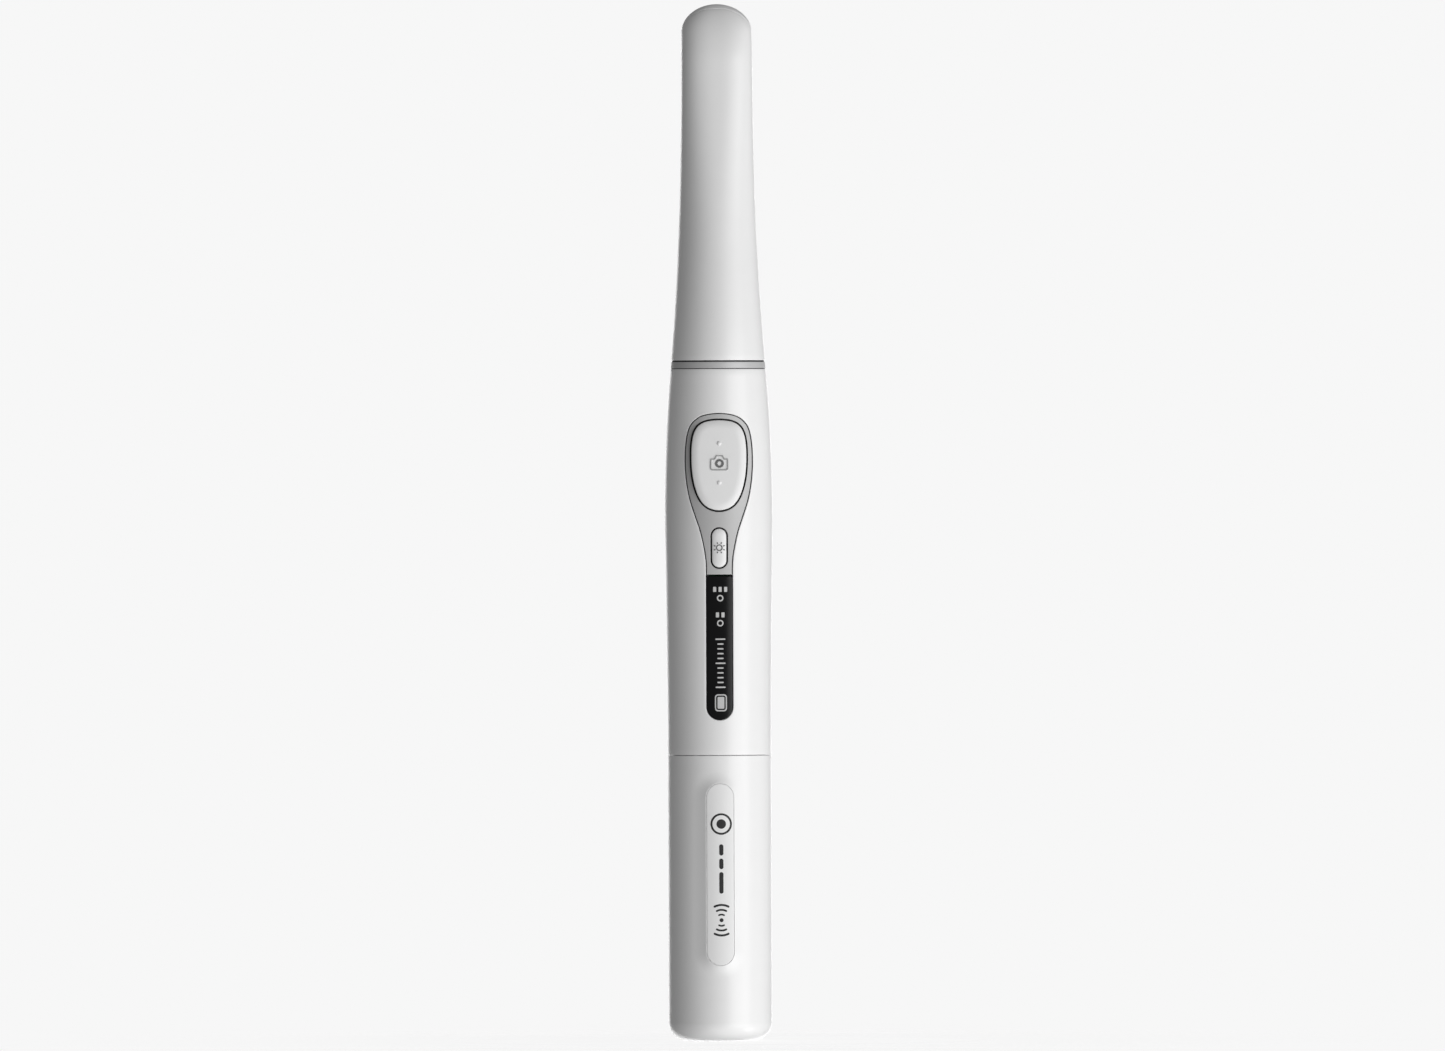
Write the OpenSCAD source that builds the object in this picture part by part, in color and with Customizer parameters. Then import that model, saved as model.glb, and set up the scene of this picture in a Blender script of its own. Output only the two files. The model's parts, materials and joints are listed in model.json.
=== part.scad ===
// Cordless intraoral camera: a battery module that plugs into a grip barrel,
// and a slender, slightly bent neck that ends in the camera head.
// +Z runs up the barrel, the origin is the centre of the flat base,
// the keys face -Y and the lens faces +Y.

/* [Body] */
// Radius of the barrel at the battery module
base_r = 10.33; // [10.25:0.01:10.5]
// Radius of the barrel where the grip is widest
grip_r = 10.79; // [10.7:0.01:11]
// Radius of the rounded edge round the base
base_corner = 3.8; // [2.5:0.1:4.5]
// Height of the joint between battery module and handle
module_h = 57.1; // [56.6:0.1:57.6]
// Wall of the handle shell
shell_wall = 1.5; // [1.4:0.05:1.5]
// Wall of the module shell
module_wall = 1.2; // [1.1:0.05:1.2]
// Height of the antenna pad above the module's surface
pad_proud = 0.5; // [0.3:0.05:0.7]

/* [Neck and head] */
// Height of the tip above the base
tip_h = 207.4; // [206.8:0.1:208.4]
// Radius of the barrel at the neck joint
neck_r = 9.4; // [9.35:0.01:9.5]
// Wall of the two neck shells
neck_wall = 1.1; // [1:0.05:1.2]
// Height of the lens centre
lens_z = 195; // [194:0.1:195.5]
// Tilt of the optical axis below the horizontal
head_tilt = 8; // [6:0.5:9]

/* [Keys and window] */
// Thickness of the bezel plate and of the status window
bezel_t = 0.8; // [0.7:0.05:0.8]
// Gap between a key and the bezel plate
key_gap = 0.3; // [0.25:0.01:0.35]
// How far the capture key stands above the barrel
capture_proud = 0.3; // [0.2:0.05:0.6]
// How far the light key stands above the barrel
light_proud = 0.25; // [0.1:0.05:0.4]
// Half width of the status window
window_hw = 2.69; // [2.6:0.01:2.75]

/* [Power and electronics] */
// Diameter of the rechargeable cell
cell_d = 14; // [13.5:0.1:14]
// Length of the rechargeable cell
cell_len = 50; // [48:0.5:50]
// Width of the main board
board_w = 13; // [12:0.1:13]
// Thickness of the main board
board_t = 1; // [0.8:0.1:1]

/* [Optics] */
// Number of lamps round the lens
lamp_count = 6; // [4:1:8]
// Radius of the circle that the lamps lie on
lamp_ring_r = 3.95; // [3.9:0.01:4]
// Outer radius of the moving lens barrel
lens_r = 1.9; // [1.8:0.05:1.95]

/* [Hidden] */
$fn = 64;

eps = 0.01;
// heights of the parts that sit between handle and neck
ring_z0 = 134.3;
ring_z1 = 135.7;
neck_z = 136;
// share of the swell between base_r and grip_r, and between neck_r and grip_r
swell = [[0, 0], [57, 0], [70, 0.09], [82, 0.35], [94, 0.7], [103, 1], [108, 1]];
taper = [[108, 1], [115, 0.89], [121, 0.72], [127, 0.49], [133, 0.14], [136, 0]];
stations = [70, 82, 94, 103, 108, 115, 121, 127, 133];
function barrel(z) = z <= 108 ? base_r + (grip_r - base_r) * lookup(z, swell)
                              : neck_r + (grip_r - neck_r) * lookup(z, taper);
function heights(z0, z1) = [z0, each [for (z = stations) if (z > z0 && z < z1) z], z1];
function turned(p) = [for (i = [len(p) - 1 : -1 : 0]) p[i]];

// half widths of the bezel plate, bottom to top: [height, half width]
bezel_half = [[93, 2.6], [96, 2.75], [99, 3.2], [102, 3.9], [105, 4.9], [108, 5.85],
  [111, 6.45], [114, 6.75], [116, 6.8], [118.5, 6.72], [121, 6.4], [123, 5.75],
  [124.5, 4.3], [125.2, 2.6]];
bezel_top = 125.5;
// half widths of the capture key, bottom to top
key_half = [[106.1, 1.6], [106.8, 2.9], [107.8, 3.75], [109, 4.4], [111, 5.05], [113, 5.42],
  [115, 5.6], [117, 5.64], [119, 5.58], [121, 5.28], [122.4, 4.75], [123.4, 3.85],
  [124, 2.3]];
key_z0 = 105.8;
key_z1 = 124.2;
// a smooth curve through the points p, n steps a span
function bend(a, b, c, d, t) = 0.5 * (2 * b + (c - a) * t + (2 * a - 5 * b + 4 * c - d) * t * t
                               + (3 * b - a - 3 * c + d) * t * t * t);
function smooth(p, n) = [for (i = [0 : len(p) - 2]) for (k = [0 : n - 1])
  bend(p[max(i - 1, 0)], p[i], p[i + 1], p[min(i + 2, len(p) - 1)], k / n), p[len(p) - 1]];
// a closed outline from its half widths, as [x, height]
function outline(h, top, bottom) = let (s = smooth(h, 2)) concat(
  is_undef(bottom) ? [] : [[0, bottom]],
  [for (q = s) [q[1], q[0]]], [[0, top]], [for (q = turned(s)) [-q[1], q[0]]]);

// ---- shared shapes ------------------------------------------------------
// a turned band that follows the barrel, from offset o0 to offset o1
module band(z0, z1, o0, o1) rotate_extrude($fn = 96)
  polygon(concat([for (z = heights(z0, z1)) [barrel(z) + o0, z]],
                 [for (z = turned(heights(z0, z1))) [barrel(z) + o1, z]]));
// an outline in x and height, pushed from y = -a to y = -b
module facing(a, b) rotate([90, 0, 0]) translate([0, 0, a]) linear_extrude(b - a) children();
// a rod along Y
module rod(r, y0, y1) translate([0, y1, 0]) rotate([90, 0, 0]) cylinder(h = y1 - y0, r = r);
module tube(r1, r0, z0, z1) difference() {
  translate([0, 0, z0]) cylinder(h = z1 - z0, r = r1);
  translate([0, 0, z0 - 1]) cylinder(h = z1 - z0 + 2, r = r0);
}
// a box centred in x, from y0 to y1 and z0 to z1
module block(w, y0, y1, z0, z1) translate([-w / 2, y0, z0]) cube([w, y1 - y0, z1 - z0]);
// a bar with round ends in x and height
module pill(hw, z0, z1) {
  translate([-hw, z0 + hw]) square([2 * hw, z1 - z0 - 2 * hw]);
  translate([0, z0 + hw]) circle(hw);
  translate([0, z1 - hw]) circle(hw);
}
module bezel_outline() polygon(outline(bezel_half, bezel_top));
module strip_outline(d = 0) {
  translate([-window_hw + d, 64.1 + window_hw]) square([2 * window_hw - 2 * d, 93 - 64.1 - window_hw]);
  translate([0, 64.1 + window_hw]) circle(window_hw - d);
}
module recess_outline() {
  bezel_outline();
  strip_outline();
}
module key_outline() polygon(outline(key_half, key_z1, key_z0));
light_hw = 1.57;
light_z0 = 94.5;
light_z1 = 102.5;

// ---- battery module -----------------------------------------------------
module cup(r, z0, z1, c) rotate_extrude($fn = 96) {
  translate([0, z0]) square([r - c, z1 - z0]);
  translate([0, z0 + c]) square([r, z1 - z0 - c]);
  translate([r - c, z0 + c]) circle(c);
}
pad_z0 = 15.1;
pad_z1 = 51.5;
pad_hw = 2.75;
contact_x = 2.5;
module module_shell() color("white") difference() {
  union() {
    cup(base_r, 0, module_h, base_corner);
    intersection() {
      translate([0, 0, 5]) cylinder(h = 50, r = base_r + pad_proud / 2, $fn = 96);
      facing(7, 13) pill(pad_hw + 1.1, pad_z0 - 1.2, pad_z1 + 1.2);
    }
  }
  cup(base_r - module_wall, 1.4, module_h + 5, min(base_corner, 3.8) - 1);
  intersection() {
    difference() {
      cylinder(h = 56, r = base_r + 2);
      cylinder(h = 120, r = base_r - 0.5, center = true);
    }
    facing(7, 13) pill(pad_hw, pad_z0, pad_z1);
  }
  for (x = [-contact_x, contact_x]) translate([x, 0, -1]) cylinder(h = 4, r = 1);
}
module antenna_cover() color("whitesmoke") intersection() {
  tube(base_r + pad_proud, base_r - 0.49, 5, 55);
  facing(7, 13) pill(pad_hw - 0.03, pad_z0 + 0.03, pad_z1 - 0.03);
}
cell_y = 1.2;
cell_z = 3.9;
module battery_cell() color("royalblue") translate([0, cell_y, cell_z]) {
  difference() {
    cylinder(h = cell_len - 1, r = cell_d / 2);
    translate([0, 0, cell_len - 3]) rotate_extrude()
      translate([cell_d / 2, 0]) square([0.5, 1], center = true);
  }
  translate([0, 0, cell_len - 1.5]) cylinder(h = 1.5, r = 2.6);
}
module cell_tabs() color("silver") {
  // the lower tab runs under the cell, the upper one over its button
  block(3, -6.4, cell_y + 2, cell_z - 0.2, cell_z);
  block(3, -6.4, cell_y + 2, cell_z + cell_len, cell_z + cell_len + 0.2);
  block(3, -6.6, -6.4, cell_z - 0.2, cell_z + 6);
  block(3, -6.6, -6.4, cell_z + cell_len - 8, cell_z + cell_len + 0.2);
}
module cell_cradle() color("dimgray") difference() {
  translate([0, 0, 4.6]) cylinder(h = 47, r = 9);
  translate([0, cell_y, -1]) cylinder(h = 80, r = cell_d / 2 + 0.1);
  block(30, -20, -5.4, 0, 80);
}
module radio_board() color("darkgreen") difference() {
  block(9, -7.6, -6.8, 6, 52.4);
  translate([0, 0, 9]) rod(0.6, -9, -6);
  translate([0, 0, 50]) rod(0.6, -9, -6);
}
module radio_chips() color("silver") {
  block(5.6, -8.5, -7.6, 18, 27);
  block(3.2, -8.3, -7.6, 30, 32);
  block(5, -8.4, -7.6, 36, 39);
  block(4, -8.4, -7.6, 42, 46);
}
module charge_board() color("darkgreen") difference() {
  translate([0, 0, 2.2]) cylinder(h = 0.8, r = 6.6);
  for (x = [-contact_x, contact_x]) translate([x, 0, 1]) cylinder(h = 4, r = 0.5);
}
module charge_contacts() color("gold") for (x = [-contact_x, contact_x]) translate([x, 0, 0]) {
  translate([0, 0, 0.25]) cylinder(h = 1.95, r = 0.95);
  translate([0, 0, 1.4]) cylinder(h = 0.8, r = 1.4);
  translate([0, 0, 2]) cylinder(h = 1.1, r = 0.5);
}
// the module's plug: a spigot over the seam, with a floor that carries the contacts
spigot_r = 8.2;
spigot_top = module_h + 8.9;
pad_x = [-4, -2, 0, 2, 4];
module module_collar() color("gainsboro") difference() {
  union() {
    translate([0, 0, module_h - 2.6]) cylinder(h = 2.6, r = base_r - module_wall - 0.03);
    translate([0, 0, module_h - 0.5]) cylinder(h = 9.4, r = spigot_r);
  }
  translate([0, 0, module_h - 5]) cylinder(h = 7, r = 7.3);
  translate([0, 0, module_h + 4.9]) cylinder(h = 10, r = 6.4);
  translate([0, 0, module_h]) cylinder(h = 10, r = 2.2);
  difference() {
    translate([0, 0, module_h + 3]) cylinder(h = 1.2, r = 12);
    translate([0, 0, module_h]) cylinder(h = 10, r = 7.25);
  }
  for (y = [-4.4, 4.4]) translate([0, y, module_h]) cylinder(h = 10, r = 0.6);
}
module coupling_seal() color("black") translate([0, 0, module_h + 3.6])
  rotate_extrude() translate([7.75, 0]) circle(0.5, $fn = 32);
module contact_block() color("black") difference() {
  translate([0, 0, module_h + 4.9]) cylinder(h = 3.7, r = 6.35);
  for (y = [-4.4, 4.4]) translate([0, y, module_h]) {
    cylinder(h = 20, r = 0.65);
    translate([0, 0, 7.6]) cylinder(h = 4, r = 1.3);
  }
  for (x = pad_x) translate([x, 0, module_h + 8]) cylinder(h = 4, r = 0.7);
}
module contact_pads() color("gold") for (x = pad_x) translate([x, 0, module_h + 8])
  cylinder(h = 0.9, r = 0.7);
module screw(head_r, head_h, r, l) difference() {
  union() {
    cylinder(h = head_h, r = head_r, $fn = 32);
    translate([0, 0, -l]) cylinder(h = l + eps, r = r, $fn = 24);
  }
  for (a = [0, 90]) rotate([0, 0, a]) translate([-head_r * 0.65, -0.12, head_h * 0.4])
    cube([head_r * 1.3, 0.24, head_h]);
}
module block_screws() color("silver") for (y = [-4.4, 4.4]) translate([0, y, module_h + 7.6])
  screw(1.15, 0.8, 0.6, 5);

// ---- handle -------------------------------------------------------------
collar_clear = 7.4;
module handle_shell() color("white") difference() {
  rotate_extrude($fn = 96) polygon(concat(
    [for (z = heights(module_h, ring_z0)) [barrel(z), z]],
    [[collar_clear, ring_z0], [collar_clear, ring_z0 - 1.7]],
    [for (z = turned(heights(module_h, ring_z0 - 1.7))) [barrel(z) - shell_wall, z]]));
  intersection() {
    band(60, 130, -bezel_t - 0.1, 2);
    facing(6, 14) recess_outline();
  }
  facing(6, 14) offset(delta = -0.5) recess_outline();
}
module handle_socket() color("gainsboro") {
  tube(base_r - shell_wall - 0.03, spigot_r + 0.08, module_h + 0.2, module_h + 9.1);
  difference() {
    translate([0, 0, module_h + 9.1]) cylinder(h = 1.6, r = base_r - shell_wall - 0.03);
    block(11, -1.6, 1.6, module_h + 8, module_h + 12);
  }
}
module contact_carrier() color("black") difference() {
  union() {
    block(10.9, -1.55, 1.55, module_h + 9.3, module_h + 11);
    block(13, -2.6, 2.6, module_h + 10.7, module_h + 12.6);
  }
  for (x = pad_x) translate([x, 0, module_h]) cylinder(h = 20, r = 0.5);
}
module spring_pins() color("gold") for (x = pad_x) translate([x, 0, 0]) {
  translate([0, 0, module_h + 8.9]) cylinder(h = 1.2, r = 0.35);
  translate([0, 0, module_h + 9.8]) cylinder(h = 4, r = 0.48);
}
module contact_board() color("darkgreen") difference() {
  block(12, -3.4, 3, module_h + 12.6, module_h + 13.4);
  for (x = pad_x) translate([x, 0, module_h]) cylinder(h = 20, r = 0.5);
}
board_y = -5.2;
screw_at = [for (x = [-5.2, 5.2]) for (z = [77, 122]) [x, z]];
module chassis() color("silver") difference() {
  union() {
    difference() {
      tube(8.2, 7.2, 73, 125.5);
      block(30, -20, -2.6, 0, 200);
    }
    for (s = [-1, 1]) translate([s * 5.7, 0, 0])
      block(2.7, board_y + board_t, -2.2, 73, 125.5);
    // two cross ribs tie the rails to the curved back
    for (z = [75, 112]) intersection() {
      translate([0, 0, z]) cylinder(h = 1.2, r = 8);
      block(30, 3.5, 9, z, z + 1.2);
    }
  }
  for (p = screw_at) translate([p[0], 0, p[1]]) rod(0.6, -6, 0);
  translate([0, 8, 93]) rotate([90, 0, 0]) cylinder(h = 6, r = 2, center = true);
}
module chassis_screws() color("silver") for (p = screw_at)
  translate([p[0], board_y, p[1]]) rotate([90, 0, 0]) screw(1, 0.7, 0.6, 2.8);
module main_board() color("darkgreen") difference() {
  block(board_w, board_y, board_y + board_t, 72.5, 125);
  for (p = screw_at) translate([p[0], 0, p[1]]) rod(0.65, -8, 0);
}
board_back = board_y + board_t;
module image_processor() color("black") block(8, board_back, board_back + 1, 101, 109);
module memory_chip() color("black") block(6, board_back, board_back + 0.9, 91, 98);
module shield_can() color("silver") block(8, board_back, board_back + 1.8, 76, 88);
module head_connector() color("ivory") block(6.4, board_back, board_back + 1.25, 119.8, 122.8);
module bezel_plate() color("darkgray") difference() {
  intersection() {
    band(92, 127, -bezel_t, 0);
    facing(6, 14) offset(delta = -0.06) bezel_outline();
  }
  facing(6, 14) offset(delta = key_gap / 2) key_outline();
  facing(6, 14) pill(light_hw + key_gap / 2, light_z0 - key_gap / 2, light_z1 + key_gap / 2);
}
module bezel_adhesive() color("dimgray") difference() {
  intersection() {
    band(63, 127, -bezel_t - 0.1, -bezel_t);
    facing(6, 14) offset(delta = -0.06) recess_outline();
  }
  facing(6, 14) offset(delta = -0.5) recess_outline();
}
module status_window() color("black") intersection() {
  band(62, 92.95, -bezel_t, 0);
  facing(6, 14) strip_outline(0.06);
}
lamp_z = [83.5, 88.5];
module light_guides() color("white") {
  for (z = lamp_z) translate([0, 0, z]) rod(0.8, -barrel(z) + bezel_t + 0.1, board_y - 0.65);
  block(1.6, -8, -7.2, lamp_z[0], lamp_z[1]);
  translate([0, 0, 86]) rod(0.5, -7.5, board_y);
}
module status_lamps() color("ivory") for (z = lamp_z)
  block(1.6, board_y - 0.6, board_y, z - 0.4, z + 0.4);
capture_z = 114.4;
light_z = (light_z0 + light_z1) / 2;
switch_top = -6.9;
module switch_body(w, z, r) difference() {
  block(w, switch_top, board_y, z - w / 2, z + w / 2);
  translate([0, 0, z]) rod(r, switch_top - 1, switch_top + 1.2);
}
module capture_switch() color("black") switch_body(5.2, capture_z, 1.35);
module light_switch() color("black") switch_body(3, light_z, 0.8);
module trim_ring() color("darkgray") rotate_extrude($fn = 96)
  polygon([[7.36, ring_z0], [barrel(ring_z0), ring_z0], [barrel(ring_z1), ring_z1], [7.36, ring_z1]]);
module neck_seal() color("black") rotate_extrude($fn = 96)
  polygon([[7.36, ring_z1], [barrel(ring_z1) - 0.1, ring_z1], [barrel(neck_z) - 0.1, neck_z], [7.36, neck_z]]);
module neck_sleeve() color("silver") {
  tube(7.3, 6.3, 127, 141);
  tube(7.95, 7, ring_z0 - 2.9, ring_z0 - 1.72);
}

// ---- neck and head ------------------------------------------------------
// half width, back face and front face of the neck, by height
dome_z = 196;
neck_half = [[136, neck_r], [142, 8.92], [148, 8.48], [154, 8.11], [160, 7.83], [169, 7.47],
  [178, 7.27], [187, 7.15], [196, 7.11], [201.8, 7.04]];
back_face = [[136, -neck_r], [142, -8.6], [148, -7.55], [154, -6.4], [160, -5.25], [169, -3.6],
  [178, -2.05], [187, -0.65], [196, 0.65]];
front_face = [[136, neck_r], [142, 8.9], [148, 8.65], [154, 8.6], [160, 8.75], [169, 9.3],
  [178, 10.15], [187, 11.25], [196, 12.45]];
flatness = [[136, 2], [150, 2], [185, 4], [203, 4], [207, 2.2]];
// depth of the rounded back as a share of the half width, and how square it is
back_depth = [[136, 1], [160, 1], [169, 0.95], [176, 0.93], [184, 0.87], [192, 0.83], [208, 0.83]];
back_square = [[136, 2], [165, 2], [176, 2.2], [184, 2.4], [192, 2.6], [208, 2.6]];
slope = 0.14;
function round_end(z, z0) = z <= z0 ? 0 : 1 - sqrt(max(0, 1 - pow((z - z0) / (tip_h - z0), 2)));
function half_at(z) = lookup(z, neck_half) * (1 - round_end(z, 201.8));
function back_at(z) = lookup(z, back_face) + max(0, z - dome_z) * slope + 5.2 * round_end(z, dome_z);
function front_at(z) = lookup(z, front_face) + max(0, z - dome_z) * slope - 6.6 * round_end(z, 200.5);
rings = [136, 139, 142, 145, 148, 151, 154, 157, 160, 164.5, 169, 173.5, 178, 182.5, 187, 191.5,
  196, 199, 201.8, 203.6, 204.9, 205.9, 206.6, 207.1];
ring_n = 36;
function sgnpow(v, e) = sign(v) * pow(abs(v), e);
// one ring of the neck, shrunk inwards by w
function neck_ring(z, w) = let (
    a0 = half_at(z), back0 = lookup(z, back_depth) * a0, c = back_at(z) + back0, front0 = front_at(z) - c,
    dome = z > dome_z,
    a = dome ? a0 * (1 - w / 7.11) : a0 - w,
    h = dome ? dome_z + (z - dome_z) * (1 - w / (tip_h - dome_z)) : z)
  [for (j = [0 : ring_n - 1]) let (
      t = (j + 0.5) * 360 / ring_n, e = 2 / lookup(z, sin(t) > 0 ? flatness : back_square),
      b0 = sin(t) > 0 ? front0 : back0, b = dome ? b0 * (1 - w / 5.9) : b0 - w)
    [a * sgnpow(cos(t), e), c + b * sgnpow(sin(t), e), h]];
function tip_at(w) = [0, (back_at(tip_h) + front_at(tip_h)) / 2, dome_z + (tip_h - dome_z) * (1 - w / (tip_h - dome_z))];
// the closed wall of neck and head, open at the bottom
module neck_wall_solid(w) {
  k = len(rings);
  m = ring_n * k;
  pts = concat([for (z = rings) each neck_ring(z, 0)], [tip_at(0)],
               [for (z = rings) each neck_ring(z, w)], [tip_at(w)]);
  function id(s, i, j) = s * (m + 1) + i * ring_n + (j % ring_n);
  faces = concat(
    [for (i = [0 : k - 2]) for (j = [0 : ring_n - 1]) each
      [[id(0, i, j), id(0, i + 1, j), id(0, i + 1, j + 1)], [id(0, i, j), id(0, i + 1, j + 1), id(0, i, j + 1)]]],
    [for (j = [0 : ring_n - 1]) [id(0, k - 1, j), m, id(0, k - 1, j + 1)]],
    [for (i = [0 : k - 2]) for (j = [0 : ring_n - 1]) each
      [[id(1, i, j), id(1, i + 1, j + 1), id(1, i + 1, j)], [id(1, i, j), id(1, i, j + 1), id(1, i + 1, j + 1)]]],
    [for (j = [0 : ring_n - 1]) [id(1, k - 1, j), id(1, k - 1, j + 1), 2 * m + 1]],
    [for (j = [0 : ring_n - 1]) each
      [[id(0, 0, j), id(0, 0, j + 1), id(1, 0, j + 1)], [id(0, 0, j), id(1, 0, j + 1), id(1, 0, j)]]]);
  polyhedron(pts, faces);
}
module neck_solid() {
  neck_wall_solid(neck_wall);
  tube(8.6, 7.36, neck_z, neck_z + 2.4);
}
// the parting surface between back and front shell: [y, height]
parting = [[0, 130], [0, 136], [0.15, 142], [0.55, 148], [1.1, 154], [1.75, 160], [2.85, 169],
  [4.05, 178], [5.3, 187], [6.55, 196], [6.8, 200], [6.5, 202], [6, 204], [5.55, 206], [5, 207], [4.2, 209]];
module back_region() rotate([90, 0, 90]) translate([0, 0, -15]) linear_extrude(30)
  polygon(concat([[-15, 209], [-15, 130]], parting));
// the lens looks along local +Y
lens_y = (back_at(lens_z) + front_at(lens_z)) / 2;
module at_lens() translate([0, lens_y, lens_z]) rotate([-head_tilt, 0, 0]) children();
face_y = 5.75;
bezel_r = 5;
module head_back_shell() color("white") intersection() {
  neck_solid();
  back_region();
}
module head_front_shell() color("white") difference() {
  union() {
    neck_solid();
    at_lens() rod(5.7, 3.4, face_y);
  }
  back_region();
  at_lens() {
    rod(5.7, face_y, 9);
    rod(bezel_r + 0.03, 2, 9);
  }
}
module ring_at(r1, r0, y0, y1) difference() {
  rod(r1, y0, y1);
  rod(r0, y0 - 1, y1 + 1);
}
lamp_pos = [for (i = [0 : lamp_count - 1]) let (t = (i + 0.5) * 360 / lamp_count) [lamp_ring_r * cos(t), lamp_ring_r * sin(t)]];
module lens_bezel() color("black") at_lens() difference() {
  rod(bezel_r, 4.75, face_y);
  rod(2.6, 4, 7);
  rod(2.97, 5.05, 7);
  for (p = lamp_pos) translate([p[0], 0, p[1]]) rod(0.6, 4, 7);
}
module lens_window() color("lightblue", 0.4) at_lens() rod(2.94, 5.2, 5.65);
module window_seal() color("black") at_lens() ring_at(2.94, 2.6, 5.05, 5.2);
module lamp_board() color("white") at_lens() ring_at(4.85, 2.75, 3.85, 4.25);
module lamps() color("khaki") at_lens() for (p = lamp_pos)
  translate([p[0], 0, p[1]]) block(0.8, 4.25, 4.7, -0.4, 0.4);
module lamp_lenses() color("lightyellow", 0.5) at_lens() for (p = lamp_pos)
  translate([p[0], 0, p[1]]) rod(0.58, 4.75, 5.68);
module focus_housing() color("silver") at_lens() difference() {
  intersection() {
    block(8, -0.6, 3.75, -4, 4);
    rod(4.95, -1, 4);
  }
  block(6.6, -1, 3.35, -3.3, 3.3);
  rod(2.6, 0, 6);
}
module focus_magnets() color("gray") at_lens() for (a = [0 : 90 : 270])
  rotate([0, a, 0]) translate([2.75, 1.2, -1.6]) cube([0.53, 2.1, 3.2]);
module ir_filter() color("lightcyan", 0.5) at_lens() block(5.4, 0.25, 0.5, -2.3, 2.3);
module image_sensor() color("dimgray") at_lens() block(6, -0.6, 0.2, -2.6, 2.6);
module sensor_board() color("darkgreen") at_lens() block(8.6, -1.4, -0.6, -6, 4.6);
module heat_spreader() color("orange") at_lens() block(8, -1.9, -1.4, -2.4, 4.2);
// the ribbon's route in [y, height], from the sensor board down to the main board
flex_route = [[4.48, 192.2], [4.06, 189.2], [3.75, 186.5], [2.6, 178], [1, 165], [-0.2, 152],
  [-1.2, 142], [-2.1, 132], [-2.7, 126], [-2.82, 123.5], [-2.82, 120]];
module head_flex() color("orange") rotate([90, 0, 90]) translate([0, 0, -2.5]) linear_extrude(5)
  polygon(concat([for (p = flex_route) [p[0] - 0.12, p[1]]], [for (p = turned(flex_route)) [p[0] + 0.12, p[1]]]));

// ---- keys ---------------------------------------------------------------
// a crown that is flat from side to side and follows the barrel's front line
module crown(z0, z1, proud) rotate([90, 0, 90]) translate([0, 0, -8]) linear_extrude(16)
  polygon(concat([for (z = heights(z0, z1)) [-barrel(z) - proud, z]], [[-6, z1], [-6, z0]]));
// a key: the crown that shows, a rim behind the bezel plate and a post to its switch
post_end = -7.3;
module key(z0, z1, proud, mid, post_r) {
  difference() {
    intersection() {
      crown(z0 - 2, z1 + 2, proud);
      facing(5, 14) offset(delta = -key_gap / 2) children(0);
    }
    translate([0, 0, z0 - 5]) cylinder(h = z1 - z0 + 10, r = 9.2);
  }
  intersection() {
    band(z0 - 2, z1 + 2, -bezel_t - 1, -bezel_t - 0.1);
    facing(5, 14) offset(delta = 0.3) children(0);
  }
  translate([0, 0, mid]) rod(post_r, -9.2, post_end);
}
module capture_button() color("white") key(key_z0, key_z1, capture_proud, capture_z, 1.6) key_outline();
module light_button() color("white") key(light_z0, light_z1, light_proud, light_z, 1) pill(light_hw, light_z0, light_z1);
module capture_plunger() color("white") translate([0, 0, capture_z]) rod(1.28, post_end, -6.2);
module light_plunger() color("white") translate([0, 0, light_z]) rod(0.74, post_end, -6.2);

// ---- focusing lens ------------------------------------------------------
module lens_barrel() color("black") at_lens() {
  ring_at(lens_r, 1.5, 1, 4.3);
  ring_at(lens_r, 1.1, 4.1, 4.4);
}
module focus_coil() color("peru") at_lens() ring_at(2.35, lens_r, 1.2, 2.9);
module lens_elements() color("lightblue", 0.4) at_lens() for (y = [1.2, 2.2, 3.2])
  translate([0, y, 0]) rotate([-90, 0, 0]) rotate_extrude()
    polygon([[0, 0], [1.48, 0], [1.48, 0.3], [1.1, 0.46], [0.6, 0.57], [0, 0.62]]);

module_shell();
antenna_cover();
battery_cell();
cell_tabs();
cell_cradle();
radio_board();
radio_chips();
charge_board();
charge_contacts();
module_collar();
coupling_seal();
contact_block();
contact_pads();
block_screws();
handle_shell();
handle_socket();
contact_carrier();
spring_pins();
contact_board();
chassis();
chassis_screws();
main_board();
image_processor();
memory_chip();
shield_can();
head_connector();
bezel_plate();
bezel_adhesive();
status_window();
light_guides();
status_lamps();
capture_switch();
light_switch();
trim_ring();
neck_seal();
neck_sleeve();
head_flex();
head_back_shell();
head_front_shell();
lens_bezel();
lens_window();
window_seal();
lamp_board();
lamps();
lamp_lenses();
focus_housing();
focus_magnets();
ir_filter();
image_sensor();
sensor_board();
heat_spreader();
capture_button();
capture_plunger();
light_button();
light_plunger();
lens_barrel();
focus_coil();
lens_elements();
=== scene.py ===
import json
import math
import bpy
import bmesh
import numpy as np
from mathutils import Matrix, Vector, geometry


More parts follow.
